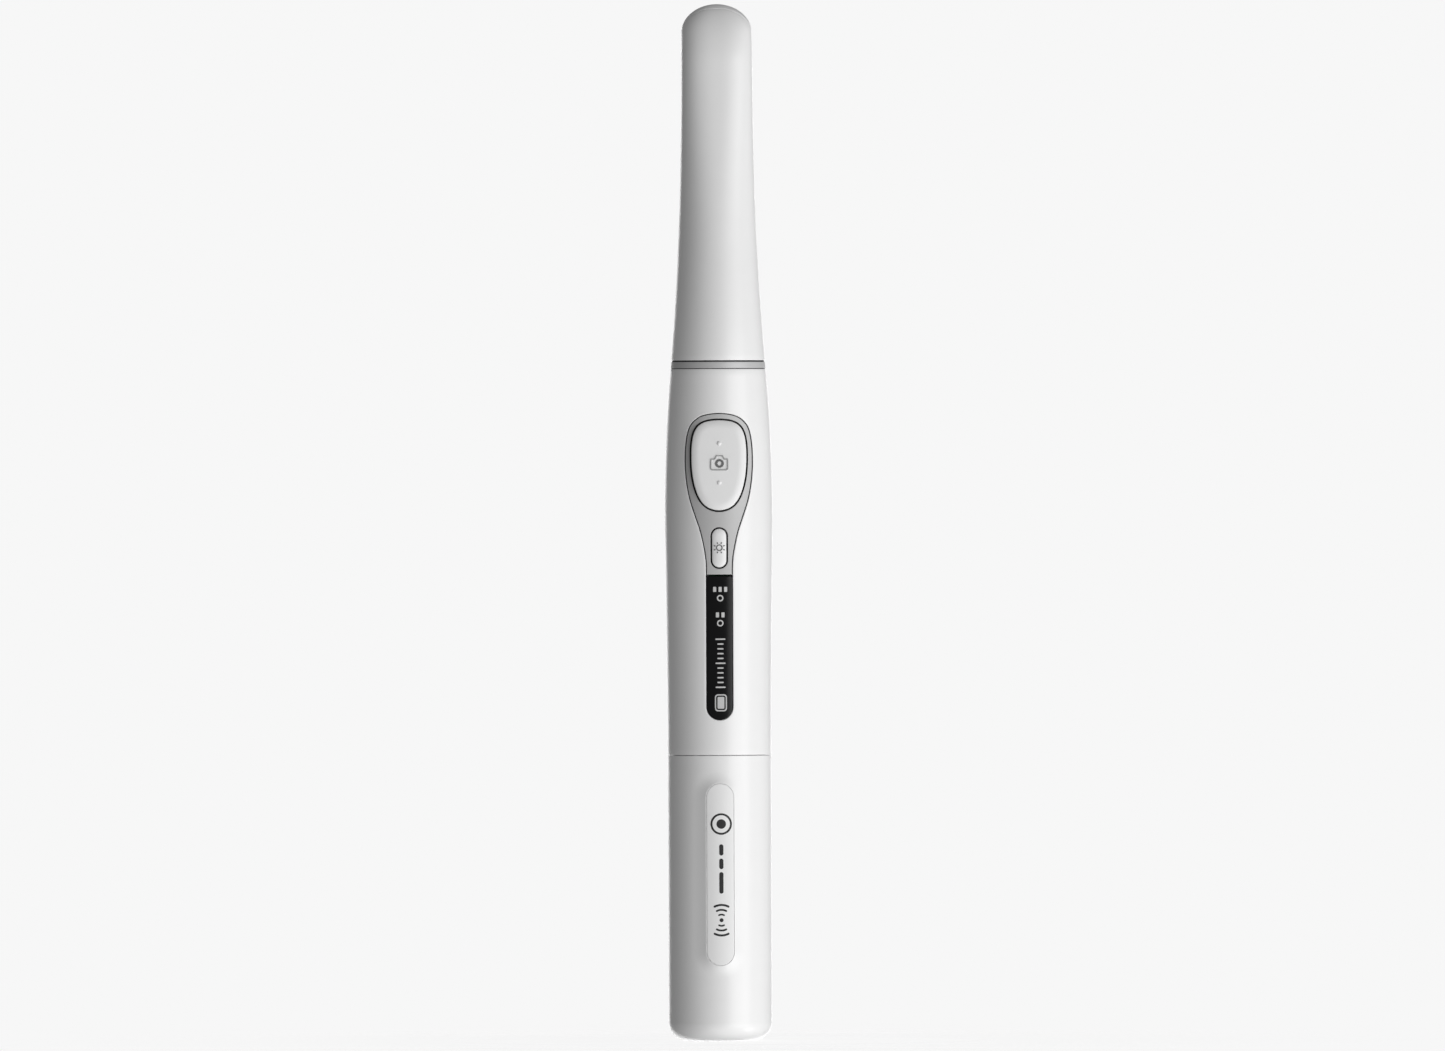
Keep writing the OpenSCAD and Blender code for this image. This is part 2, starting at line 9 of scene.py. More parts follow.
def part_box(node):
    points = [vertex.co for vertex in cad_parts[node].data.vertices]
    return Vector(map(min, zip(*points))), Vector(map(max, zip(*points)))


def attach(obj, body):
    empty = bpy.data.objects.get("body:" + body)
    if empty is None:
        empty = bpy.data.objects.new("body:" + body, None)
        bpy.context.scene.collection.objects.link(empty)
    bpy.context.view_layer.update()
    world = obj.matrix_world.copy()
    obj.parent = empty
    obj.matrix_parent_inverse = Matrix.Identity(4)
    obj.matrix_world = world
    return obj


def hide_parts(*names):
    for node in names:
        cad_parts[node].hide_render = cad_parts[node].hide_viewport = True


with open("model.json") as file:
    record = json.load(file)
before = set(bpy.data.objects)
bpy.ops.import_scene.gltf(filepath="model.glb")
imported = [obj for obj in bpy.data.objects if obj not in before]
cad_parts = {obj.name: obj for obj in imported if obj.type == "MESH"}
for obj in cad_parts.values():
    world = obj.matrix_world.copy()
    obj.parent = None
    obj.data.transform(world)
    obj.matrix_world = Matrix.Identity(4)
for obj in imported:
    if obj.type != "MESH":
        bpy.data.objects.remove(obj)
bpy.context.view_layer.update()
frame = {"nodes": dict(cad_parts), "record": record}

# All lengths below are in millimetres until a mesh is written, and repeat the CAD source.
MM = 0.001
BASE_R, BASE_CORNER, SEAM_Z, TIP = 10.33, 3.8, 57.1, 207.4
RING_Z0, RING_Z1, NECK_Z = 134.3, 135.7, 136.0
BEZEL_T, KEY_GAP, WINDOW_HW = 0.8, 0.3, 2.69
LENS_Z, TILT = 195.0, math.radians(8.0)


# ---------------------------------------------------------------- curves
def smooth_curve(points, sigma, step=0.05):
    """A table through the points, rounded over sigma mm, as a function."""
    p = np.array(points, float)
    q = np.arange(p[0, 0] - 6 * sigma, p[-1, 0] + 6 * sigma, step)
    lo = (p[1, 1] - p[0, 1]) / (p[1, 0] - p[0, 0])
    hi = (p[-1, 1] - p[-2, 1]) / (p[-1, 0] - p[-2, 0])
    v = np.interp(q, p[:, 0], p[:, 1])
    v = np.where(q < p[0, 0], p[0, 1] + lo * (q - p[0, 0]), v)
    v = np.where(q > p[-1, 0], p[-1, 1] + hi * (q - p[-1, 0]), v)
    k = np.arange(-4 * sigma, 4 * sigma + step, step)
    g = np.exp(-0.5 * (k / sigma) ** 2)
    g /= g.sum()
    n = len(k) // 2
    w = np.convolve(v, g, "same")
    w[:n], w[-n:] = v[:n], v[-n:]
    return lambda z: np.interp(z, q, w)


BARREL = [[40, 10.33], [57, 10.33], [70, 10.371], [82, 10.491], [94, 10.652], [103, 10.785],
          [108, 10.785], [115, 10.637], [121, 10.40], [127, 10.08], [133, 9.61], [136, 9.40],
          [142, 8.92], [148, 8.48], [154, 8.11], [160, 7.83], [169, 7.47], [178, 7.27],
          [187, 7.15], [196, 7.11], [201.8, 7.04], [210, 6.96]]
width_at = smooth_curve(BARREL, 2.6)
BACK = [[115, -10.637], [121, -10.40], [127, -10.08], [133, -9.61], [136, -9.40], [142, -8.6], [148, -7.55], [154, -6.4], [160, -5.25],
        [169, -3.6], [178, -2.05], [187, -0.65], [196, 0.65], [210, 2.6]]
FRONT = [[115, 10.637], [121, 10.40], [127, 10.08], [133, 9.61], [136, 9.40], [142, 8.9], [148, 8.65], [154, 8.6], [160, 8.75],
         [169, 9.3], [178, 10.15], [187, 11.25], [196, 12.45], [210, 14.4]]
back_line = smooth_curve(BACK, 3.0)
front_line = smooth_curve(FRONT, 3.0)
flat_line = smooth_curve([[130, 2], [150, 2], [185, 4], [203, 4], [207, 2.4], [209, 2.2]], 1.2)
depth_line = smooth_curve([[130, 1], [160, 1], [169, 0.95], [176, 0.93], [184, 0.87], [192, 0.83], [210, 0.83]], 3.0)
square_line = smooth_curve([[130, 2], [165, 2], [176, 2.2], [184, 2.4], [192, 2.6], [210, 2.6]], 3.0)
part_line = smooth_curve([[125, 0], [136, 0], [142, 0.15], [148, 0.55], [154, 1.1], [160, 1.75], [169, 2.85],
                          [178, 4.05], [187, 5.3], [196, 6.55], [200, 6.8], [202, 6.5], [204, 6.0],
                          [206, 5.5], [207, 5.0], [209, 4.2]], 0.9)


def round_end(z, z0):
    u = np.clip((np.asarray(z, float) - z0) / (TIP - z0), 0, 1)
    return 1 - np.sqrt(1 - u * u)


def ring_dims(z):
    """Half width, centre in y, front depth, front exponent, back depth and back exponent at height z."""
    z = np.asarray(z, float)
    a = np.minimum(width_at(z), 20) * (1 - round_end(z, 201.8))
    back = back_line(z) + 5.2 * round_end(z, 196)
    front = front_line(z) - 6.6 * round_end(z, 200.5)
    back, front = np.minimum(back, front), np.maximum(back, front)
    c = np.minimum(back + depth_line(z) * a, front - 1e-6)
    return a, c, front - c, flat_line(z), c - back, square_line(z)


def ring_point(t, z, w=0.0):
    """Point at angle t (radians, 90 degrees is +Y) on the ring at height z, w inside the surface."""
    a, c, bf, nf, bb, nb = ring_dims(z)
    up = np.sin(t) > 0
    b, n = np.where(up, bf, bb), np.where(up, nf, nb)
    if w:
        dome = np.asarray(z) > 196
        a = np.where(dome, a * (1 - w / 7.11), a - w)
        b = np.where(dome, b * (1 - w / 5.9), b - w)
        z = np.where(dome, 196 + (np.asarray(z) - 196) * (1 - w / (TIP - 196)), z)
    e = 2 / n
    x = a * np.sign(np.cos(t)) * np.abs(np.cos(t)) ** e
    y = c + b * np.sign(np.sin(t)) * np.abs(np.sin(t)) ** e
    return np.stack(np.broadcast_arrays(x, y, z), -1)


def resample(pts, n=None, step=None, closed=False):
    p = np.array(pts, float)
    if closed:
        p = np.vstack([p, p[:1]])
    s = np.concatenate([[0], np.cumsum(np.linalg.norm(np.diff(p, axis=0), axis=1))])
    if n is None:
        n = max(4, int(round(s[-1] / step)))
    q = np.linspace(0, s[-1], n + 1)
    out = np.stack([np.interp(q, s, p[:, i]) for i in range(p.shape[1])], 1)
    return out[:-1] if closed else out


def spline(pts, closed=False, n=12):
    """A Catmull-Rom curve through the points."""
    p = np.array(pts, float)
    k = len(p)
    at = (lambda i: p[i % k]) if closed else (lambda i: p[min(max(i, 0), k - 1)])
    out = []
    for i in range(k if closed else k - 1):
        a, b, c, d = at(i - 1), at(i), at(i + 1), at(i + 2)
        for t in np.arange(n) / n:
            out.append(0.5 * (2 * b + (c - a) * t + (2 * a - 5 * b + 4 * c - d) * t * t
                              + (3 * b - a - 3 * c + d) * t ** 3))
    if not closed:
        out.append(p[-1])
    return np.array(out)


def ccw(loop):
    x, z = loop[:, 0], loop[:, 1]
    area = 0.5 * np.sum(x * np.roll(z, -1) - np.roll(x, -1) * z)
    return loop if area > 0 else loop[::-1]


def outward(loop):
    d = np.roll(loop, -1, 0) - np.roll(loop, 1, 0)
    n = np.stack([d[:, 1], -d[:, 0]], 1)
    return n / np.maximum(np.linalg.norm(n, axis=1, keepdims=True), 1e-9)


def circle(cx, cz, r, n=48):
    t = np.arange(n) * 2 * math.pi / n
    return np.stack([cx + r * np.cos(t), cz + r * np.sin(t)], 1)


def pill(hw, z0, z1, step=0.2, cx=0.0):
    t = np.linspace(0, math.pi, 33)
    up = np.stack([cx + hw * np.cos(t), z1 - hw + hw * np.sin(t)], 1)
    down = np.stack([cx - hw * np.cos(t), z0 + hw - hw * np.sin(t)], 1)
    return ccw(resample(np.vstack([up, down]), step=step, closed=True))


def bar(x0, x1, z0, z1, r=0.08):
    c = [(x1 - r, z0 + r, -90), (x1 - r, z1 - r, 0), (x0 + r, z1 - r, 90), (x0 + r, z0 + r, 180)]
    out = []
    for cx, cz, a in c:
        for k in range(5):
            t = math.radians(a + 22.5 * k)
            out.append([cx + r * math.cos(t), cz + r * math.sin(t)])
    return np.array(out)


def arc_band(cx, cz, r, w, a0, a1, n=20):
    """A band with round ends along an arc, angles in degrees."""
    out = []
    t = np.radians(np.linspace(a0, a1, n))
    for k in t:
        out.append([cx + (r + w / 2) * math.cos(k), cz + (r + w / 2) * math.sin(k)])
    for k in np.linspace(0, math.pi, 7)[1:-1]:
        out.append([cx + r * math.cos(t[-1]) + w / 2 * math.cos(t[-1] + k), cz + r * math.sin(t[-1]) + w / 2 * math.sin(t[-1] + k)])
    for k in t[::-1]:
        out.append([cx + (r - w / 2) * math.cos(k), cz + (r - w / 2) * math.sin(k)])
    for k in np.linspace(0, math.pi, 7)[1:-1]:
        out.append([cx + r * math.cos(t[0]) + w / 2 * math.cos(t[0] + math.pi + k), cz + r * math.sin(t[0]) + w / 2 * math.sin(t[0] + math.pi + k)])
    return ccw(np.array(out))


def dist_to(points, loops):
    """Distance of each 2-D point to the nearest loop."""
    best = np.full(len(points), 1e9)
    for lp in loops:
        a, b = lp, np.roll(lp, -1, 0)
        ab = b - a
        den = np.maximum((ab ** 2).sum(1), 1e-12)
        for i in range(0, len(points), 4000):
            p = points[i:i + 4000]
            t = np.clip(((p[:, None] - a[None]) * ab[None]).sum(2) / den[None], 0, 1)
            c = a[None] + t[..., None] * ab[None]
            best[i:i + 4000] = np.minimum(best[i:i + 4000], np.sqrt(((p[:, None] - c) ** 2).sum(2)).min(1))
    return best


def inside(points, loops):
    """Even-odd test against all loops together."""
    r = np.zeros(len(points), bool)
    for lp in loops:
        x0, z0 = lp[:, 0], lp[:, 1]
        x1, z1 = np.roll(x0, -1), np.roll(z0, -1)
        for i in range(0, len(points), 4000):
            p = points[i:i + 4000]
            c = (z0[None] > p[:, 1:2]) != (z1[None] > p[:, 1:2])
            with np.errstate(divide="ignore", invalid="ignore"):
                xi = (x1 - x0)[None] * (p[:, 1:2] - z0[None]) / (z1 - z0)[None] + x0[None]
            r[i:i + 4000] ^= ((c & (p[:, 0:1] < xi)).sum(1) % 2).astype(bool)
    return r


# ---------------------------------------------------------------- meshes
class Build:
    """Collects quads and triangles in millimetres and writes one closed, welded mesh."""

    def __init__(self):
        self.v, self.f, self.m, self.n = [], [], [], 0

    def points(self, p):
        i = self.n
        self.v.append(np.asarray(p, float).reshape(-1, 3))
        self.n += len(self.v[-1])
        return i

    def rows(self, rows, closed=False, mat=0):
        rows = [np.asarray(r, float) for r in rows]
        k = len(rows[0])
        base = self.points(np.vstack(rows))
        for i in range(len(rows) - 1):
            for j in range(k if closed else k - 1):
                a, b = base + i * k + j, base + i * k + (j + 1) % k
                self.f.append((a, b, b + k, a + k))
                self.m.append(mat)

    def tris(self, pts3, tris, mat=0):
        base = self.points(pts3)
        for t in tris:
            self.f.append(tuple(base + int(i) for i in t))
            self.m.append(mat)

    def fan(self, loop3, mat=0):
        base = self.points(loop3)
        self.f.append(tuple(range(base, base + len(loop3))))
        self.m.append(mat)

    def turn(self, profile, n=128, mat=0, axis=None):
        """Revolves [r, z] points round Z, or round the lens axis when axis is given."""
        t = np.arange(n) * 2 * math.pi / n
        rows = []
        for r, z in profile:
            p = np.stack([r * np.cos(t), r * np.sin(t), np.full(n, float(z))], 1)
            rows.append(axis(p) if axis else p)
        self.rows(rows, closed=True, mat=mat)

    def make(self, name, body, materials, replaces=(), weld=0.0015, sharp=None):
        me = bpy.data.meshes.new(name)
        me.from_pydata((np.vstack(self.v) * MM).tolist(), [], self.f)
        for mt in materials:
            me.materials.append(mt)
        me.polygons.foreach_set("material_index", self.m)
        bm = bmesh.new()
        bm.from_mesh(me)
        bmesh.ops.remove_doubles(bm, verts=bm.verts, dist=weld * MM)
        bmesh.ops.dissolve_degenerate(bm, edges=bm.edges, dist=weld * MM * 0.5)
        loose = [v for v in bm.verts if not v.link_faces]
        if loose:
            bmesh.ops.delete(bm, geom=loose, context="VERTS")
        extra = {min(e.link_faces, key=lambda q: q.calc_area()) for e in bm.edges if len(e.link_faces) > 2}
        if extra:
            bmesh.ops.delete(bm, geom=sorted(extra, key=lambda q: q.index), context="FACES")
        open_edges = [e for e in bm.edges if len(e.link_faces) == 1]
        if open_edges and len(open_edges) < 100:
            new = bmesh.ops.holes_fill(bm, edges=open_edges, sides=0)["faces"]
            if new:
                bmesh.ops.triangulate(bm, faces=new)
        bmesh.ops.recalc_face_normals(bm, faces=bm.faces)
        for fc in bm.faces:
            fc.smooth = True
        if sharp:
            for e in bm.edges:
                if len(e.link_faces) == 2 and e.calc_face_angle(0) > math.radians(sharp):
                    e.smooth = False
        bm.to_mesh(me)
        bm.free()
        ob = bpy.data.objects.new(name, me)
        bpy.context.scene.collection.objects.link(ob)
        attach(ob, body)
        if replaces:
            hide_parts(*replaces)
        return ob


def fill(loops, rings=(0.12, 0.3), step=0.5):
    """A clean triangle mesh of the area inside loops[0] and outside the others: points, triangles."""
    loops = [np.asarray(l, float) for l in loops]
    fixed = np.vstack(loops)
    edges, k = [], 0
    for l in loops:
        edges += [(k + i, k + (i + 1) % len(l)) for i in range(len(l))]
        k += len(l)
    extra, last = [], 0.0
    for d in rings:
        for i, l in enumerate(loops):
            o = ccw(l)
            p = o + outward(o) * (-d if i == 0 else d)
            extra.append(p[dist_to(p, loops) > d * 0.96])
        last = d
    lo, hi = loops[0].min(0), loops[0].max(0)
    g = []
    for r, z in enumerate(np.arange(lo[1], hi[1], step * 0.866)):
        x = np.arange(lo[0] + (step / 2 if r % 2 else 0), hi[0], step)
        g.append(np.stack([x, np.full(len(x), z)], 1))
    g = np.vstack(g)
    g = g[dist_to(g, loops) > last + step * 0.62]
    extra.append(g)
    extra = np.vstack(extra)
    extra = extra[inside(extra, loops)] if len(extra) else extra
    pts = np.vstack([fixed, extra])
    v, _, faces, _, _, _ = geometry.delaunay_2d_cdt([Vector(p) for p in pts], edges, [], 0, 1e-6)
    v = np.array([[p.x, p.y] for p in v])
    faces = [f for f in faces if len(f) == 3]
    cen = np.array([(v[f[0]] + v[f[1]] + v[f[2]]) / 3 for f in faces])
    keep = inside(cen, loops)
    return v, [f for f, s in zip(faces, keep) if s]


def on_barrel(p, h, R):
    """x, height points carried to the turned surface of radius R(z) + h, on the -Y side."""
    p = np.asarray(p, float)
    r = R(p[:, 1]) + h
    return np.stack([p[:, 0], -np.sqrt(np.maximum(r * r - p[:, 0] ** 2, 0)), p[:, 1]], 1)


def plate(b, loops, top, bottom, r=0.1, rings=(0.12, 0.3), step=0.5, mat=0, floor=True):
    """A plate whose faces are top(points, distance to rim) and bottom(points), with rounded rims."""
    loops = [ccw(l) for l in loops]
    signs = [-1] + [1] * (len(loops) - 1)
    norms = [outward(l) * s for l, s in zip(loops, signs)]
    inner = [l + n * r for l, n in zip(loops, norms)]
    v, f = fill(inner, rings, step)
    b.tris(top(v, dist_to(v, loops)), f, mat)
    alpha = [0, 22.5, 45, 67.5, 90]
    for l, n in zip(loops, norms):
        out = []
        for a in alpha:
            q = l + n * (r * (1 - math.sin(math.radians(a))))
            p = top(q, np.full(len(q), r * (1 - math.sin(math.radians(a)))))
            down = bottom(q) - p
            down /= np.maximum(np.linalg.norm(down, axis=1, keepdims=True), 1e-9)
            out.append(p + down * r * (1 - math.cos(math.radians(a))))
        out.append(bottom(l))
        b.rows(out, closed=True, mat=mat)
    if floor:
        v, f = fill(loops, (), max(step, 0.8))
        b.tris(bottom(v), [t[::-1] for t in f], mat)


def shell_rows(R, wall, outline, z0, z1, ncol=128, dz=1.6):
    """Rows of a turned surface with a front opening whose right half is outline (bottom to top)."""
    rows = []
    for z in np.linspace(z0, outline[0, 1], max(2, int((outline[0, 1] - z0) / dz) + 2))[:-1]:
        rows.append((0.0, z))
    for w, z in outline:
        rows.append((w, z))
    for z in np.linspace(outline[-1, 1], z1, max(2, int((z1 - outline[-1, 1]) / dz) + 2))[1:]:
        rows.append((0.0, z))
    out = []
    u = np.linspace(0, 1, ncol + 1)
    for w, z in rows:
        r = float(R(z)) - wall
        h = math.asin(min(1, w / r))
        phi = h + (2 * math.pi - 2 * h) * u
        out.append(np.stack([r * np.sin(phi), -r * np.cos(phi), np.full(len(u), z)], 1))
    return out


# ---------------------------------------------------------------- materials
def material(name, base, rough=0.4, metal=0.0, spec=None, coat=0.0, coat_rough=0.1, noise=0.03, noise_scale=120.0,
             rough_var=0.06, bump=0.05, bump_scale=2500.0, grain=None, transmission=0.0, ior=None, alpha=None,
             sss=0.0, emission=None):
    mt = bpy.data.materials.new(name)
    mt.use_nodes = True
    nt = mt.node_tree
    nt.nodes.clear()
    out = nt.nodes.new("ShaderNodeOutputMaterial")
    bs = nt.nodes.new("ShaderNodeBsdfPrincipled")
    nt.links.new(bs.outputs[0], out.inputs[0])
    tc = nt.nodes.new("ShaderNodeTexCoord")
    src = tc.outputs["Object"]
    if grain:
        mp = nt.nodes.new("ShaderNodeMapping")
        mp.inputs["Scale"].default_value = grain
        nt.links.new(src, mp.inputs["Vector"])
        src = mp.outputs[0]
    nz = nt.nodes.new("ShaderNodeTexNoise")
    nz.inputs["Scale"].default_value = noise_scale
    nz.inputs["Detail"].default_value = 5
    nt.links.new(src, nz.inputs["Vector"])
    ramp = nt.nodes.new("ShaderNodeValToRGB")
    ramp.color_ramp.elements[0].position, ramp.color_ramp.elements[1].position = 0.3, 0.7
    lo = [max(0, c * (1 - noise)) for c in base]
    hi = [min(1, c * (1 + noise)) for c in base]
    ramp.color_ramp.elements[0].color = (*lo, 1)
    ramp.color_ramp.elements[1].color = (*hi, 1)
    nt.links.new(nz.outputs["Fac"], ramp.inputs[0])
    nt.links.new(ramp.outputs[0], bs.inputs["Base Color"])
    mr = nt.nodes.new("ShaderNodeMapRange")
    mr.inputs["To Min"].default_value = max(0.02, rough - rough_var)
    mr.inputs["To Max"].default_value = min(1, rough + rough_var)
    nt.links.new(nz.outputs["Fac"], mr.inputs["Value"])
    nt.links.new(mr.outputs[0], bs.inputs["Roughness"])
    if bump:
        nb = nt.nodes.new("ShaderNodeTexNoise")
        nb.inputs["Scale"].default_value = bump_scale
        nb.inputs["Detail"].default_value = 3
        nt.links.new(src, nb.inputs["Vector"])
        bp = nt.nodes.new("ShaderNodeBump")
        bp.inputs["Strength"].default_value = bump
        bp.inputs["Distance"].default_value = 0.00004
        nt.links.new(nb.outputs["Fac"], bp.inputs["Height"])
        nt.links.new(bp.outputs[0], bs.inputs["Normal"])
    bs.inputs["Metallic"].default_value = metal
    bs.inputs["Coat Weight"].default_value = coat
    bs.inputs["Coat Roughness"].default_value = coat_rough
    if spec is not None:
        bs.inputs["Specular IOR Level"].default_value = spec
    if ior is not None:
        bs.inputs["IOR"].default_value = ior
    if transmission:
        bs.inputs["Transmission Weight"].default_value = transmission
    if alpha is not None:
        bs.inputs["Alpha"].default_value = alpha
    if sss:
        bs.inputs["Subsurface Weight"].default_value = sss
        bs.inputs["Subsurface Radius"].default_value = (0.0008, 0.0007, 0.0006)
        bs.inputs["Subsurface Scale"].default_value = 1.0
    if emission:
        bs.inputs["Emission Color"].default_value = (*emission[:3], 1)
        bs.inputs["Emission Strength"].default_value = emission[3]
    mt["bsdf"] = bs.name
    return mt


def board_material(name, mask, copper, cell=1.1):
    """Solder mask over etched tracks, with gold pads."""
    mt = material(name, mask, rough=0.38, noise=0.08, noise_scale=900, coat=0.3, coat_rough=0.2, bump=0.1, bump_scale=6000)
    nt = mt.node_tree
    bs = nt.nodes[mt["bsdf"]]
    tc = nt.nodes.new("ShaderNodeTexCoord")
    brick = nt.nodes.new("ShaderNodeTexBrick")
    mp = nt.nodes.new("ShaderNodeMapping")
    mp.inputs["Rotation"].default_value = (math.radians(90), 0, 0)
    nt.links.new(tc.outputs["Object"], mp.inputs["Vector"])
    nt.links.new(mp.outputs[0], brick.inputs["Vector"])
    brick.inputs["Scale"].default_value = 1.0
    brick.inputs["Brick Width"].default_value = cell * 0.004
    brick.inputs["Row Height"].default_value = cell * 0.0011
    brick.inputs["Mortar Size"].default_value = 0.00007
    brick.inputs["Mortar Smooth"].default_value = 0.1
    brick.inputs["Color1"].default_value = (*mask, 1)
    brick.inputs["Color2"].default_value = (*[c * 0.82 for c in mask], 1)
    brick.inputs["Mortar"].default_value = (*copper, 1)
    vo = nt.nodes.new("ShaderNodeTexVoronoi")
    vo.inputs["Scale"].default_value = 620
    nt.links.new(tc.outputs["Object"], vo.inputs["Vector"])
    lt = nt.nodes.new("ShaderNodeMath")
    lt.operation = "LESS_THAN"
    lt.inputs[1].default_value = 0.16
    nt.links.new(vo.outputs["Distance"], lt.inputs[0])
    mx = nt.nodes.new("ShaderNodeMix")
    mx.data_type = "RGBA"
    nt.links.new(lt.outputs[0], mx.inputs["Factor"])
    nt.links.new(brick.outputs["Color"], mx.inputs[6])
    mx.inputs[7].default_value = (0.62, 0.44, 0.16, 1)
    nt.links.new(mx.outputs[2], bs.inputs["Base Color"])
    return mt


M = {}
M["shell"] = material("shell_white_plastic", (0.80, 0.80, 0.80), rough=0.30, noise=0.006, noise_scale=260, rough_var=0.03,
                      bump=0.05, bump_scale=3200, spec=0.42)
M["cover"] = material("cover_white_plastic", (0.79, 0.79, 0.79), rough=0.44, noise=0.006, noise_scale=300, rough_var=0.03,
                      bump=0.08, bump_scale=5200, spec=0.38)
M["key"] = material("key_white_plastic", (0.775, 0.775, 0.775), rough=0.46, noise=0.006, noise_scale=420, rough_var=0.03,
                    bump=0.08, bump_scale=6500, spec=0.36)
M["bezel"] = material("bezel_satin_grey", (0.475, 0.475, 0.475), rough=0.42, noise=0.012, noise_scale=500, rough_var=0.04,
                      bump=0.12, bump_scale=7000, spec=0.4)
# Painted shade: the raised icon outline is white key plastic given a darker grey, so it reads as shaded relief.
M["icon_line"] = material("icon_line_painted_shade_grey", (0.36, 0.36, 0.36), rough=0.48, noise=0.03, noise_scale=2500, bump=0.1, bump_scale=8000, spec=0.36)
# Painted shade: the ring and sun icons are raised white key plastic coloured near black to stand in for their shade.
M["icon"] = material("icon_painted_shade_dark", (0.14, 0.14, 0.14), rough=0.48, noise=0.03, noise_scale=2500, bump=0.1, bump_scale=8000, spec=0.36)
M["ring"] = material("ring_satin_metal", (0.50, 0.50, 0.503), rough=0.45, metal=0.1, noise=0.02, noise_scale=260, rough_var=0.05,
                     bump=0.06, grain=(1, 1, 14), bump_scale=700)
M["window"] = material("window_gloss_black", (0.006, 0.006, 0.0065), rough=0.2, noise=0.1, noise_scale=200, rough_var=0.03,
                       bump=0.0, spec=0.16)
M["print_light"] = material("print_silver", (0.52, 0.52, 0.52), rough=0.5, noise=0.03, noise_scale=3000, bump=0.12, bump_scale=9000)
M["print_dark"] = material("print_black", (0.012, 0.012, 0.013), rough=0.55, noise=0.1, noise_scale=3000, bump=0.12, bump_scale=9000)
M["seal"] = material("seal_rubber", (0.02, 0.02, 0.021), rough=0.62, noise=0.15, noise_scale=900, bump=0.35, bump_scale=5000)
M["lens_black"] = material("lens_bezel_black", (0.011, 0.011, 0.012), rough=0.24, noise=0.1, noise_scale=600, rough_var=0.05,
                           bump=0.08, bump_scale=7000, coat=0.5, coat_rough=0.08)
M["glass"] = material("window_glass", (0.93, 0.96, 0.98), rough=0.02, rough_var=0.015, noise=0.01, bump=0.0, transmission=1.0, ior=1.5)
M["lens_glass"] = material("lens_glass", (0.80, 0.86, 0.95), rough=0.02, rough_var=0.015, noise=0.02, bump=0.0, transmission=1.0, ior=1.62,
                           coat=0.4, coat_rough=0.02)
M["filter"] = material("filter_glass", (0.62, 0.86, 0.90), rough=0.03, rough_var=0.02, noise=0.02, bump=0.0, transmission=1.0, ior=1.52)
M["lamp_clear"] = material("lamp_lens_clear", (0.94, 0.94, 0.90), rough=0.06, rough_var=0.03, noise=0.01, bump=0.03, bump_scale=4000,
                           transmission=0.85, ior=1.49)
M["lamp"] = material("lamp_phosphor", (0.86, 0.74, 0.25), rough=0.55, noise=0.08, noise_scale=4000, bump=0.2, bump_scale=9000)
M["dark"] = material("dark_moulded_plastic", (0.035, 0.036, 0.038), rough=0.5, noise=0.1, noise_scale=600, bump=0.3, bump_scale=4200)
M["collar"] = material("collar_grey_plastic", (0.60, 0.60, 0.61), rough=0.42, noise=0.015, noise_scale=300, bump=0.12, bump_scale=4200)
M["gold"] = material("gold_contact", (0.86, 0.60, 0.22), rough=0.24, metal=1.0, noise=0.05, noise_scale=1400, bump=0.08, bump_scale=8000)
M["steel"] = material("screw_steel", (0.62, 0.62, 0.63), rough=0.28, metal=1.0, noise=0.05, noise_scale=1500, bump=0.08,
                      bump_scale=6000)
M["nickel"] = material("nickel_strip", (0.66, 0.64, 0.60), rough=0.3, metal=1.0, noise=0.06, noise_scale=900, bump=0.1,
                       grain=(1, 1, 6), bump_scale=1500)
M["can"] = material("can_tinned_steel", (0.68, 0.69, 0.70), rough=0.3, metal=1.0, noise=0.04, noise_scale=500, bump=0.08,
                    grain=(12, 1, 1), bump_scale=900)
M["chassis"] = material("chassis_cast_metal", (0.55, 0.56, 0.58), rough=0.42, metal=1.0, noise=0.08, noise_scale=700, bump=0.4,
                        bump_scale=2600)
M["sleeve"] = material("sleeve_turned_metal", (0.62, 0.63, 0.65), rough=0.26, metal=1.0, noise=0.05, noise_scale=300, bump=0.15,
                       grain=(1, 1, 40), bump_scale=500)
M["housing"] = material("housing_steel", (0.52, 0.53, 0.55), rough=0.34, metal=1.0, noise=0.05, noise_scale=900, bump=0.1, bump_scale=5000)
M["magnet"] = material("magnet_nickel", (0.45, 0.45, 0.47), rough=0.22, metal=1.0, noise=0.06, noise_scale=900, bump=0.05, bump_scale=5000)
M["copper"] = material("copper_sheet", (0.80, 0.42, 0.25), rough=0.34, metal=1.0, noise=0.08, noise_scale=500, bump=0.1,
                       grain=(10, 1, 1), bump_scale=900)
M["coil"] = material("coil_enamel_wire", (0.62, 0.26, 0.10), rough=0.25, metal=0.8, noise=0.12, noise_scale=900, bump=0.9,
                     grain=(1, 12, 1), bump_scale=900)
M["wrap"] = material("cell_wrap", (0.05, 0.16, 0.42), rough=0.3, noise=0.05, noise_scale=200, bump=0.08, bump_scale=1500, coat=0.5,
                     coat_rough=0.15)
M["chip"] = material("chip_epoxy", (0.022, 0.022, 0.024), rough=0.5, noise=0.12, noise_scale=3000, bump=0.3, bump_scale=9000)
M["ivory"] = material("connector_ivory", (0.74, 0.70, 0.58), rough=0.42, noise=0.03, noise_scale=800, bump=0.1, bump_scale=4000)
M["adhesive"] = material("adhesive_tape", (0.06, 0.06, 0.065), rough=0.7, noise=0.15, noise_scale=2600, bump=0.5, bump_scale=5000)
M["guide"] = material("light_guide_clear", (0.92, 0.93, 0.93), rough=0.1, noise=0.01, bump=0.03, bump_scale=3000, transmission=0.7, ior=1.49)
M["flex"] = material("flex_polyimide", (0.60, 0.24, 0.045), rough=0.3, noise=0.06, noise_scale=500, bump=0.1, grain=(30, 1, 1),
                     bump_scale=500, coat=0.4, coat_rough=0.12)
